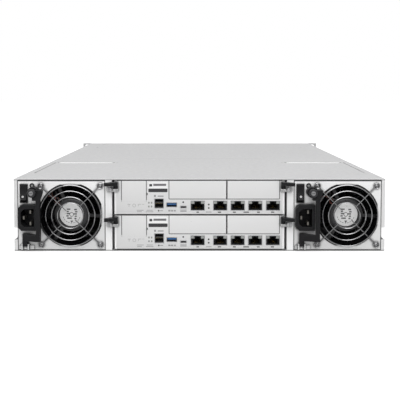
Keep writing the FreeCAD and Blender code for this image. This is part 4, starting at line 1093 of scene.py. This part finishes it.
def plate_dashes(base, places, lift):
    """Plain dashes on the faceplate, placed like the patches."""
    return boxes(*(((left * MM, rear - lift * MM, base + bottom * MM), (right * MM, rear + 0.2 * MM, base + top * MM))
                   for left, right, bottom, top in places))


# All places are left, right, bottom and top, from the middle and from the faceplate's lower edge.
patches = {"label": ("label_white", (-62.0, -38.6, 26.2, 39.4), 0.6, 0.05),
           "label_bar": ("print_dark", (-61.8, -38.7, 26.6, 31.0), 0.9, 0.09),
           "label_block": ("print_dark", (-60.6, -57.2, 33.6, 36.6), 0.3, 0.09),
           "label_line": ("print_grey", (-55.8, -40.2, 34.3, 36.9), 0.3, 0.09),
           # The reset hole is a dark disc of painted shade.
           "reset_hole": ("port_black", (-20.7, -18.7, 13.5, 15.5), 0.98, 0.03),
           "link_lamp_high": ("lamp_dark", (10.2, 12.2, 10.6, 12.6), 0.98, 0.1),
           "link_lamp_low": ("lamp_dark", (10.2, 12.2, 6.4, 8.4), 0.98, 0.1),
           "power_lamp": ("lamp_dark", (-50.3, -48.5, 3.1, 4.9), 0.88, 0.1)}
# Middle and half length of the dashes under the network sockets.
port_dashes = [(-2.2, 1.4), (24.2, 2.0), (42.3, 1.7), (56.6, 3.3), (71.4, 1.7), (88.6, 1.9)]
dashes = {"port_marks": ("print_dark", [(m - half, m + half, 1.7, 2.9) for m, half in port_dashes], 0.05),
          "soft_marks": ("print_soft", [
              (-76.0, -67.8, 4.3, 4.9), (-64.0, -56.8, 4.3, 4.9), (-75.6, -70.0, 2.5, 3.1), (-65.0, -56.0, 2.5, 3.1),
              (-47.6, -44.2, 3.6, 4.4), (-37.8, -35.2, 3.2, 5.0), (-34.4, -32.0, 3.2, 5.0), (-31.0, -28.8, 3.2, 5.0),
              (-23.2, -15.8, 4.6, 5.2), (-23.2, -15.8, 2.9, 3.9), (7.8, 14.6, 2.0, 2.8), (-55.0, -52.8, 20.9, 23.2),
              (-50.6, -43.6, 21.2, 22.4)], 0.04),
          "faint_marks": ("print_faint", [
              (-87.0, -83.6, 11.4, 12.2), (-85.6, -85.0, 8.8, 11.4), (-74.4, -70.6, 11.6, 12.2),
              (-74.4, -73.8, 9.4, 11.6), (-69.4, -66.8, 11.6, 12.1)], 0.04)}

for level in levels:
    body, base = f"controller_{level}", base_of[level]
    for name, (colour, place, radius, lift) in patches.items():
        keep(f"{body}_{name}", plate_mark(base, place, radius, lift), body, [colour])
    first = plate_mark(base, (-62.1, -60.5, 8.2, 10.2), 0.5, 0.1)
    in_grid(f"{body}_status_lamps", first, 2, (3.3 * MM, 0, 0), "lamp_window", body, 2, (0, 0, 4.6 * MM))
    for name, (colour, places, lift) in dashes.items():
        keep(f"{body}_{name}", plate_dashes(base, places, lift), body, [colour])
    ring = bmesh.new()
    add_turned(ring, (-79.1 * MM, base + 10.4 * MM), [(1.5 * MM, rear + 0.2 * MM), (1.5 * MM, rear - 0.04 * MM),
                                                      (2.1 * MM, rear - 0.04 * MM), (2.1 * MM, rear + 0.2 * MM)], 24)
    keep(f"{body}_faint_ring", mesh_from("ring", ring, False), body, ["print_faint"])
    battery_low, battery_high = solid_boxes(f"{body}_covers")[0]
    lip = boxes(((battery_low.x + 0.2 * MM, rear + 0.01 * MM, battery_low.z - 0.6 * MM),
                 (battery_high.x - 0.2 * MM, rear + 0.8 * MM, battery_low.z + 0.3 * MM)))
    keep(f"{body}_battery_lip", lip, body, ["face_steel"])
print("lamps, label and marks on both faceplates")

# %% [markdown]
# ### Levers and thumbscrews
#
# The black levers are moulded, so they get rounded edges. The thumbscrews are bright turned steel.

# %% Levers and screws
for level in levels:
    for hand in hands:
        lever = f"controller_{level}_lever_{hand}"
        dressed(f"{lever}_moulding", lever, lever, "black_plastic", 0.3 * MM)
        screw = f"controller_{level}_screw_{hand}"
        dressed(f"{screw}_turned", screw, screw, "bright_steel", 0.15 * MM)


# %% [markdown]
# ### Painted shade lines between panels
#
# The gaps between panels are too narrow to hold the shade they show, so thin dark strips of painted shade lie in them
# and give the faceplate its drawn look: a dark line down the sides of the battery cover and along the blank covers,
# under the cover's rear edge, between the controllers and round the power modules. On the controllers and the power
# modules each strip lies in the gap beside a panel, so its place comes from the panel's own box.

# %% Strips of painted shade
finish("shade_line_dark", (0.050, 0.050, 0.052), 0.8, drift=0.2, bump=0.0, gloss=0.1)
finish("shade_line_soft", (0.14, 0.14, 0.145), 0.8, drift=0.2, bump=0.0, gloss=0.1)
strip_width = 0.75 * MM


def strip(left, right, bottom, top):
    """The two corners of a strip that stands just out of the panels."""
    return (left, rear - 0.03 * MM, bottom), (right, rear + 0.5 * MM, top)


def upright_strip(x, low, high, width=strip_width):
    return strip(x - width / 2, x + width / 2, low, high)


def level_strip(z, left, right, width=strip_width):
    return strip(left, right, z - width / 2, z + width / 2)


# Painted shade: dark lines beside the blank covers and softer ones beside the battery cover.
for level in levels:
    body = f"controller_{level}"
    battery, blank, last_blank = solid_boxes(f"{body}_covers")
    gap = 0.3 * MM
    dark = boxes(upright_strip(blank[0].x - gap, blank[0].z - gap, blank[1].z),
                 level_strip(blank[0].z - gap, blank[0].x, last_blank[1].x),
                 upright_strip(last_blank[1].x + gap, last_blank[0].z, last_blank[1].z))
    soft = boxes(*(upright_strip(x, battery[0].z + 1.5 * MM, battery[1].z, 0.9 * MM)
                   for x in (battery[0].x - gap, battery[1].x + gap)))
    keep(f"{body}_shade_lines", dark, body, ["shade_line_dark"])
    keep(f"{body}_battery_shade_lines", soft, body, ["shade_line_soft"])
# Painted shade on the chassis: dark lines under the cover's rear edge and a dark band in the gap between the
# controllers, with softer lines where the cover meets the walls and posts.
shade_line_places = ((-219.6, -114.6), (-100.0, 100.0), (114.6, 219.6))
joint_shade_places = ((-224.4, -219.6), (-114.6, -100.0), (100.0, 114.6), (219.6, 224.4))
shelf_gap = (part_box("controller_lower_tray")[1].z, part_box("controller_upper_tray")[0].z)
panel_shade_strips = boxes(*(level_strip(86.6 * MM, low * MM, high * MM, 1.5 * MM) for low, high in shade_line_places),
              level_strip(sum(shelf_gap) / 2, -100 * MM, 100 * MM, shelf_gap[1] - shelf_gap[0]))
keep("panel_shade_lines", panel_shade_strips, "chassis", ["shade_line_dark"])
joint_shade_strips = boxes(*(level_strip(87.0 * MM, low * MM, high * MM, 0.5 * MM) for low, high in joint_shade_places))
keep("cover_joint_shade", joint_shade_strips, "chassis", ["shade_line_soft"])
print("gap between the controllers:", round((shelf_gap[1] - shelf_gap[0]) / MM, 2), "mm")
# Painted shade down the sides and along the top of each power module.
for hand in hands:
    body = f"power_{hand}"
    low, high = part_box(f"{body}_case")
    sides = (low.x + 0.35 * MM, high.x - 0.35 * MM)
    dark = boxes(*(upright_strip(x, low.z + 1.0 * MM, high.z, 0.6 * MM) for x in sides),
                 level_strip(high.z - 0.3 * MM, low.x, high.x, 0.5 * MM))
    print(keep(f"{body}_shade_lines", dark, body, ["shade_line_soft"]).name)


# %% [markdown]
# ## Chassis and cover
#
# The cover is one wide sheet, so small things on it carry the look: two pressed ribs whose crowns carry a painted
# highlight, relief slots at their ends, a faint seam, flush screws near the front, and a painted highlight along its
# rear edge. The sides have rows of rivets, which are the same head repeated along a line, so a grid tree makes them,
# and rail holes shown as dark discs of painted shade.

# %% Rib crowns with a painted highlight, and relief slots
finish("rib_highlight", (0.97, 0.97, 0.97), 0.4, drift=0.0, bump=0.0)
finish("seam_shadow", (0.30, 0.30, 0.305), 0.6, drift=0.1, bump=0.0, gloss=0.1)
cover_top = 88.0 * MM
rib_inner, rib_outer = 127.0 * MM, 211.0 * MM
rib_middle = rear + 165.5 * MM
rib_half = 4.6 * MM


def rib_highlight(sign):
    """A low rounded bar over a pressed rib, its ends tapering into the sheet, in near-white as a painted highlight on
    the crown.
    """
    bm = bmesh.new()
    rings = []
    steps, sections = 10, 24
    crown = cad_high.z - cover_top - 0.02 * MM
    for s in range(sections + 1):
        share = s / sections
        x = rib_inner + (rib_outer - rib_inner) * share
        swell = min(1.0, math.sqrt(max(0.0, min(share, 1 - share) * 16)))
        rings.append([(sign * x, rib_middle + rib_half * swell * math.cos(math.pi * k / steps),
                       cover_top - 0.05 * MM + crown * swell * math.sin(math.pi * k / steps))
                      for k in range(steps + 1)])
    add_skin(bm, rings)
    name = "right" if sign > 0 else "left"
    return keep(f"cover_rib_highlight_{name}", mesh_from("rib", bm), "chassis", ["rib_highlight"])


def cover_patch(name, places, finish_name, lift=0.03):
    """Thin patches just above the cover: each place is (left, right, near, far)."""
    mesh = boxes(*(((left, near, cover_top - 0.3 * MM), (right, far, cover_top + lift * MM))
                   for left, right, near, far in places))
    return keep(name, mesh, "chassis", [finish_name])


for sign in (-1, 1):
    print(rib_highlight(sign).name)
slots = []
for sign in (-1, 1):
    for x in (rib_inner - 5.5 * MM, rib_outer + 3.0 * MM):
        left, right = sorted((sign * x, sign * (x + 2.6 * MM)))
        slots.append((left, right, rib_middle - 0.9 * MM, rib_middle + 0.9 * MM))
cover_patch("cover_relief_slots", slots, "seam_shadow")
seam = rear + 216 * MM
cover_patch("cover_seam", [(-98 * MM, 98 * MM, seam, seam + 0.5 * MM)], "seam_shadow")

# %% Cover screws, and a painted highlight along the rear edge
screws = bmesh.new()
for x in (-195.6 * MM, 195.6 * MM):
    for y in (rear + 413 * MM, rear + 478 * MM):
        add_skin(screws, [[(x + a, y + b, cover_top + lift * MM) for a, b in circle(radius * MM, 20)]
                          for radius, lift in ((2.9, 0.02), (2.4, 0.10), (0.0, 0.16))])
keep("cover_screws", mesh_from("screws", screws), "chassis", ["bright_steel"])
# Painted highlight: a near-white strip along the cover's rear edge.
cover_patch("cover_rear_edge_highlight", [(-224.3 * MM, 224.3 * MM, rear + 0.1 * MM, rear + 1.1 * MM)], "rib_highlight")

# %% Rivets along the sides
side_wall = 224.5 * MM
rivet_start, rivet_foot = rear + 28 * MM, 9 * MM
rivet_pitch, rivet_rise = 52 * MM, 68 * MM
rail_radius, rail_height = 3.2 * MM, 43 * MM


def rivet_mesh(sign, y, z):
    """One domed rivet head on a side wall."""
    bm = bmesh.new()
    add_skin(bm, [[(sign * (side_wall + lift * MM), y + a, z + b) for a, b in circle(radius * MM, 14)]
                  for radius, lift in ((2.4, 0.0), (2.3, 0.35), (1.6, 0.65), (0.0, 0.8))])
    mesh = mesh_from("rivet", bm)
    if mesh.polygons[-1].normal.x * sign < 0:
        mesh.flip_normals()
    return mesh


for sign, hand in ((-1, "left"), (1, "right")):
    first = rivet_mesh(sign, rivet_start, rivet_foot)
    in_grid(f"side_rivets_{hand}", first, 9, (0, rivet_pitch, 0), "bright_steel", "chassis", 2, (0, 0, rivet_rise))
    # Painted shade: each rail hole is a dark disc in the side wall.
    holes = bmesh.new()
    for y in (rear + 96 * MM, rear + 252 * MM, rear + 408 * MM):
        near, far = add_skin(holes, [[(sign * (side_wall + lift * MM), y + a, rail_height + b)
                                      for a, b in circle(rail_radius, 20)] for lift in (0.02, -0.3)])
        holes.faces.new(near)
        holes.faces.new(far)
    keep(f"side_rail_hole_shades_{hand}", mesh_from("holes", holes, False), "chassis", ["port_black"])
print("18 rivets and 3 rail holes on each side")


# %% [markdown]
# ## Drive carriers
#
# Twelve carriers fill the front. Each has a hollow bezel, a honeycomb grille for the air, a bowed latch and two
# small lamps. The grille is the clearest use of a geometry tree here: one hexagonal cell, a count along, a count
# up, and every second row shifted by half a cell.

# %% Honeycomb grille
def honeycomb_tree():
    """Repeats a cell in rows, with every second row shifted by half a step."""
    tree, take, give = geometry_tree("honeycomb", {"Count": 20, "Rows": 5, "Step": 0.004})
    along, row = rows_and_columns(tree, take["Count"])
    shifted = calc(tree, "MULTIPLY_ADD", calc(tree, "FLOORED_MODULO", row, 2.0), 0.5, along)
    x = calc(tree, "MULTIPLY", shifted, take["Step"])
    z = calc(tree, "MULTIPLY", calc(tree, "MULTIPLY", row, math.sqrt(3) / 2), take["Step"])
    spots = spots_at(tree, calc(tree, "MULTIPLY", take["Count"], take["Rows"]), vector(tree, X=x, Z=z))
    return hand_out(tree, take, give, copies_on(tree, spots, take["Geometry"]))


comb_tree = honeycomb_tree()
comb_step = 4.4 * MM
comb_rim = 0.62 * MM
comb_depth = 1.2 * MM


def comb_cell(centre, front_y):
    """The six walls of one cell, as a hexagonal ring."""
    bm = bmesh.new()
    loops = []
    for y in (front_y, front_y - comb_depth):
        for reach in (comb_step / math.sqrt(3), comb_step / math.sqrt(3) - comb_rim):
            loops.append([bm.verts.new((centre[0] + reach * math.sin(math.pi * k / 3), y,
                                        centre[1] + reach * math.cos(math.pi * k / 3))) for k in range(6)])
    front_out, front_in, back_out, back_in = loops
    for k in range(6):
        j = (k + 1) % 6
        bm.faces.new([front_out[k], front_out[j], front_in[j], front_in[k]])
        bm.faces.new([back_out[j], back_out[k], back_in[k], back_in[j]])
        bm.faces.new([front_in[k], front_in[j], back_in[j], back_in[k]])
    mesh = bpy.data.meshes.new("cell")
    bmesh.ops.recalc_face_normals(bm, faces=bm.faces)
    bm.to_mesh(mesh)
    bm.free()
    if mesh.polygons[0].normal.y < 0:
        mesh.flip_normals()
    return mesh


# %% Dress the twelve carriers
finish("lamp_green", (0.06, 0.42, 0.12), 0.25, drift=0.1, bump=0.0, coat=0.5)
finish("lamp_amber", (0.50, 0.22, 0.03), 0.25, drift=0.1, bump=0.0, coat=0.5)
finish("grip_grey", (0.20, 0.20, 0.21), 0.45, drift=0.1, grain=2200.0, bump=0.08, wear=0.06)
bezel_rim = 1.9 * MM
# How deep the bezel is hollow, its back wall, the grille's margin, and what the lamps' column takes.
bezel_deep, back_wall, grille_margin, lamp_column = 14.0 * MM, 2.7 * MM, 1.5 * MM, 10 * MM
lamp_inset, lamp_depth = 3.2 * MM, 2.6 * MM


def carrier_finish(low, high):
    """The disk is the solid that doesn't reach the front."""
    return "inner_steel" if high.y < cad_high.y - 10 * MM else "carrier_plastic"


def dress_carrier(body):
    """One carrier's moulding, its grille and its two lamps."""
    node = f"{body}_carrier"
    low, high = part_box(node)
    dressed(f"{node}_moulding", node, body, carrier_finish, 0.3 * MM)
    inner_low, inner_high = low.x + bezel_rim, high.x - bezel_rim
    floor = low.z + bezel_rim
    height = high.z - low.z - 2 * bezel_rim
    back = high.y - bezel_deep + back_wall
    row_step = comb_step * math.sqrt(3) / 2
    cell_reach = comb_step / math.sqrt(3)
    rows = int((height - 2 * cell_reach) / row_step) + 1
    count = int((inner_high - inner_low - lamp_column) / comb_step)
    spare = (height - 2 * cell_reach - (rows - 1) * row_step) / 2
    first = comb_cell((inner_low + grille_margin + comb_step / 2, floor + cell_reach + spare),
                      back + comb_depth + 0.05 * MM)
    inputs = {"Count": count, "Rows": rows, "Step": comb_step, "Finish": "carrier_plastic"}
    grown(f"{node}_grille", comb_tree, inputs, body, "carrier_plastic", mesh=first)
    for share, colour in ((0.72, "lamp_green"), (0.28, "lamp_amber")):
        place = (high.x - bezel_rim - lamp_inset, floor + height * share)
        lamp = turned(place, high.y - lamp_depth, [(0, 0.55), (0.9, 0.4), (1.3, -0.3), (0, -0.3)], 16)
        keep(f"{body}_{colour}", lamp, body, [colour])
    return rows, count


for column in range(1, 5):
    for row in range(1, 4):
        body = f"drive_{column}_{row}"
        size = dress_carrier(body)
        latch = f"{body}_latch"
        dressed(f"{latch}_bar", latch, latch, "latch_plastic", 0.35 * MM)
        low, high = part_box(latch)
        grip = boxes(((high.x - 12 * MM, high.y - 1.95 * MM, low.z + 1.4 * MM),
                      (high.x - 11.2 * MM, high.y - 0.9 * MM, high.z - 1.4 * MM)))
        in_grid(f"{latch}_grip", grip, 6, (1.9 * MM, 0, 0), "grip_grey", latch)
print("each grille has", size[0], "rows of", size[1], "cells")


# %% [markdown]
# ## Inside the controllers
#
# A controller slides out, and then its board is seen from above. Small parts on a real board stand in rough rows,
# so the tree makes a grid, shifts each spot by a random amount and gives each spot one kind of part. The seed is
# fixed, and all kinds share it: a spot that holds a capacitor stays empty in the run that places the chips.

# %% Parts on a jittered grid
def board_parts_tree():
    """Places copies of one part on those spots of a jittered grid that drew its kind."""
    tree, take, give = geometry_tree("board_parts", {
        "Low Corner": "Vector", "Span": "Vector", "Count": 4, "Rows": 10, "Jitter": 0.18, "Kind": 0, "Kinds": 4,
        "Seed": 3})
    column, row = rows_and_columns(tree, take["Count"])
    grid = vector(tree, X=calc(tree, "ADD", column, 0.5), Y=calc(tree, "ADD", row, 0.5))
    cells = vector(tree, X=take["Count"], Y=take["Rows"], Z=1.0)
    shift = add_node(tree, "RandomValue", {"Seed": take["Seed"]}, data_type="FLOAT_VECTOR")
    for socket, value in ((0, calc(tree, "MULTIPLY", take["Jitter"], -1.0).outputs[0]), (1, take["Jitter"])):
        tree.links.new(vector(tree, X=value, Y=value).outputs[0], shift.inputs[socket])
    share = calc_vector(tree, "DIVIDE", calc_vector(tree, "ADD", grid, second=shift), second=cells)
    place = calc_vector(tree, "MULTIPLY_ADD", share, second=take["Span"], third=take["Low Corner"])
    spots = spots_at(tree, calc(tree, "MULTIPLY", take["Count"], take["Rows"]), place)
    other = calc(tree, "ADD", take["Seed"], 7.0)
    drawn = add_node(tree, "RandomValue", {"Seed": other}, data_type="FLOAT").outputs[1]
    kind = calc(tree, "FLOOR", calc(tree, "MULTIPLY", drawn, take["Kinds"]))
    wrong = add_node(tree, "Compare", {0: kind, 1: take["Kind"]}, data_type="FLOAT", operation="NOT_EQUAL")
    kept = add_node(tree, "DeleteGeometry", {"Geometry": spots, "Selection": wrong})
    return hand_out(tree, take, give, copies_on(tree, kept, take["Geometry"]))


parts_tree = board_parts_tree()
finish("chip_black", (0.018, 0.018, 0.020), 0.45, drift=0.15, bump=0.0)
finish("can_silver", (0.60, 0.60, 0.61), 0.30, metallic=0.8, drift=0.08, bump=0.0)
finish("part_tan", (0.30, 0.22, 0.13), 0.5, drift=0.15, bump=0.0)
# Left, right, near and far edges of the free areas, in millimetres from the middle and from the rear plane.
# Then the number of spots across and along.
free_areas = {"west": (-98, -82, 24, 292, 1, 22), "middle": (-60, -20, 24, 280, 3, 22),
              "east": (60, 98, 24, 292, 3, 22), "rear": (-14, 54, 24, 108, 5, 7), "front": (-14, 54, 200, 278, 5, 6)}


def part_mesh(kind, size, height, base):
    """A square chip, a round can or a small block, standing on the board at the origin."""
    bm = bmesh.new()
    if kind == "can":
        profile = ((size, base), (size, base + height * 0.93), (size * 0.86, base + height))
        rings = add_skin(bm, [[(a, b, z) for a, b in circle(radius, 14)] for radius, z in profile])
        bm.faces.new(rings[-1])
        bm.faces.new(reversed(rings[0]))
    else:
        deep = size if kind == "chip" else size * 0.5
        add_box(bm, (-size, -deep, base), (size, deep, base + height))
    return mesh_from(kind, bm, kind == "can")


def fill_board(level):
    """Four kinds of part over the free areas of one board."""
    body = f"controller_{level}"
    top = max(low.z for low, high in solid_boxes(f"{body}_board") if high.z - low.z > 20 * MM)
    kinds = (("chip", 3.6, 1.3, "chip_black"), ("can", 2.4, 6.5, "can_silver"), ("block", 2.0, 1.2, "part_tan"),
             ("chip", 2.2, 1.0, "chip_black"))
    for number, (area, (left, right, near, far, count, rows)) in enumerate(free_areas.items()):
        for kind, (shape, size, height, colour) in enumerate(kinds):
            mesh = part_mesh(shape, size * MM, height * MM, -0.05 * MM)
            inputs = {"Low Corner": (left * MM, rear + near * MM, top), "Count": count, "Rows": rows, "Jitter": 0.18,
                      "Span": ((right - left) * MM, (far - near) * MM, 0), "Kind": kind, "Kinds": 4,
                      "Seed": 11 + number, "Finish": colour}
            made = grown(f"{body}_{area}_{shape}_{kind}", parts_tree, inputs, body, mesh=mesh)
            if not made.data.polygons:
                print("no spots for", made.name)
    return top


for level in levels:
    print(level, "board top at", round(fill_board(level), 4))

# %% Chips on the memory modules
def memory_chips(level):
    """Eight chips on each side of both memory modules."""
    body = f"controller_{level}"
    modules = [b for b in solid_boxes(f"{body}_board") if b[1].x - b[0].x < 5 * MM and b[1].y - b[0].y > 100 * MM]
    for number, (low, high) in enumerate(modules):
        for side, x in (("left", low.x), ("right", high.x)):
            inner, outer = sorted((x, x + (0.9 * MM if side == "right" else -0.9 * MM)))
            chip = boxes(((inner, low.y + 6 * MM, low.z + 9 * MM), (outer, low.y + 15 * MM, low.z + 21 * MM)))
            in_grid(f"{body}_memory_{number}_{side}", chip, 8, (0, 15.4 * MM, 0), "chip_black", body)
    return len(modules)


for level in levels:
    print(memory_chips(level), "memory modules in the", level, "controller")


# %% [markdown]
# ## Floor and light
#
# The array stands on plain white. The floor is lit like the object, so it keeps the soft shadow under the chassis,
# and for camera rays it adds a little light of its own, which lifts it to the white of the backdrop. Large soft
# lamps stand above and behind the camera, as in a product studio. The white sheet ends behind the camera and the
# horizon is dark in reflections, which gives bright metal something dark to mirror: a chrome ring is light above
# and below and dark at its sides, and black plastic stays black.

# %% Floor
floor_mesh = bpy.data.meshes.new("floor")
floor_mesh.from_pydata([(-12, -12, 0), (12, -12, 0), (12, 12, 0), (-12, 12, 0)], [], [(0, 1, 2, 3)])
floor = bpy.data.objects.new("floor", floor_mesh)
floor.location.z = cad_low.z - 0.0002
bpy.context.scene.collection.objects.link(floor)


def white_floor():
    """A matt white floor that shows the shadow at half strength and otherwise meets the white backdrop."""
    material = bpy.data.materials.new("floor_white")
    material.use_nodes = True
    tree = material.node_tree
    tree.nodes.clear()
    ray = add_node(tree, "LightPath").outputs["Is Camera Ray"]
    sheet = ramp(tree, parts_of(tree, "TexCoord", "Object")["Y"], -1.6, -0.9, 0.10, 0.8)
    matt = add_node(tree, "BsdfDiffuse", {"Color": sheet})
    seen_matt = add_node(tree, "BsdfDiffuse", {"Color": (0.35, 0.35, 0.35, 1)})
    glow = add_node(tree, "Emission", {"Color": (1, 1, 1, 1), "Strength": 0.86})
    seen = add_node(tree, "AddShader", {0: seen_matt, 1: glow})
    add_node(tree, "OutputMaterial", {"Surface": add_node(tree, "MixShader", {0: ray, 1: matt, 2: seen})})
    return material


floor_mesh.materials.append(white_floor())

# %% World and lamps
world = bpy.data.worlds.new("studio")
bpy.context.scene.world = world
world.use_nodes = True
sky = world.node_tree
sky.nodes.clear()
rays = add_node(sky, "LightPath").outputs
upward = calc(sky, "ABSOLUTE", parts_of(sky, "TexCoord", "Generated")["Z"])
mirrored = ramp(sky, ramp(sky, upward, 0.12, 0.5), 0.0, 1.0, 0.06, 1.0)
soft = ramp(sky, rays["Is Glossy Ray"], 0.0, 1.0, 0.45, mirrored)
strength = calc(sky, "MAXIMUM", rays["Is Camera Ray"], soft)
air = add_node(sky, "Background", {"Color": (1, 1, 1, 1), "Strength": strength})
add_node(sky, "OutputWorld", {"Surface": air})


def lamp(name, place, aim, width, height, power):
    """A soft rectangular lamp aimed at a point."""
    data = bpy.data.lights.new(name, "AREA")
    data.shape = "RECTANGLE"
    data.size = width
    data.size_y = height
    data.energy = power
    obj = bpy.data.objects.new(name, data)
    obj.location = place
    obj.rotation_euler = (Vector(aim) - Vector(place)).to_track_quat("-Z", "Y").to_euler()
    bpy.context.scene.collection.objects.link(obj)
    return obj


lamp("key_overhead", (0.0, -1.4, 2.2), (0, -0.1, 0), 2.6, 1.6, 26)
lamp("fill_front", (0.0, -2.8, 2.1), (0, -0.2, 0.05), 3.0, 1.2, 36)
lamp("fill_behind", (0.0, 2.6, 1.8), (0, 0, 0.05), 3.0, 1.6, 22)
bpy.context.scene.view_settings.view_transform = "Standard"
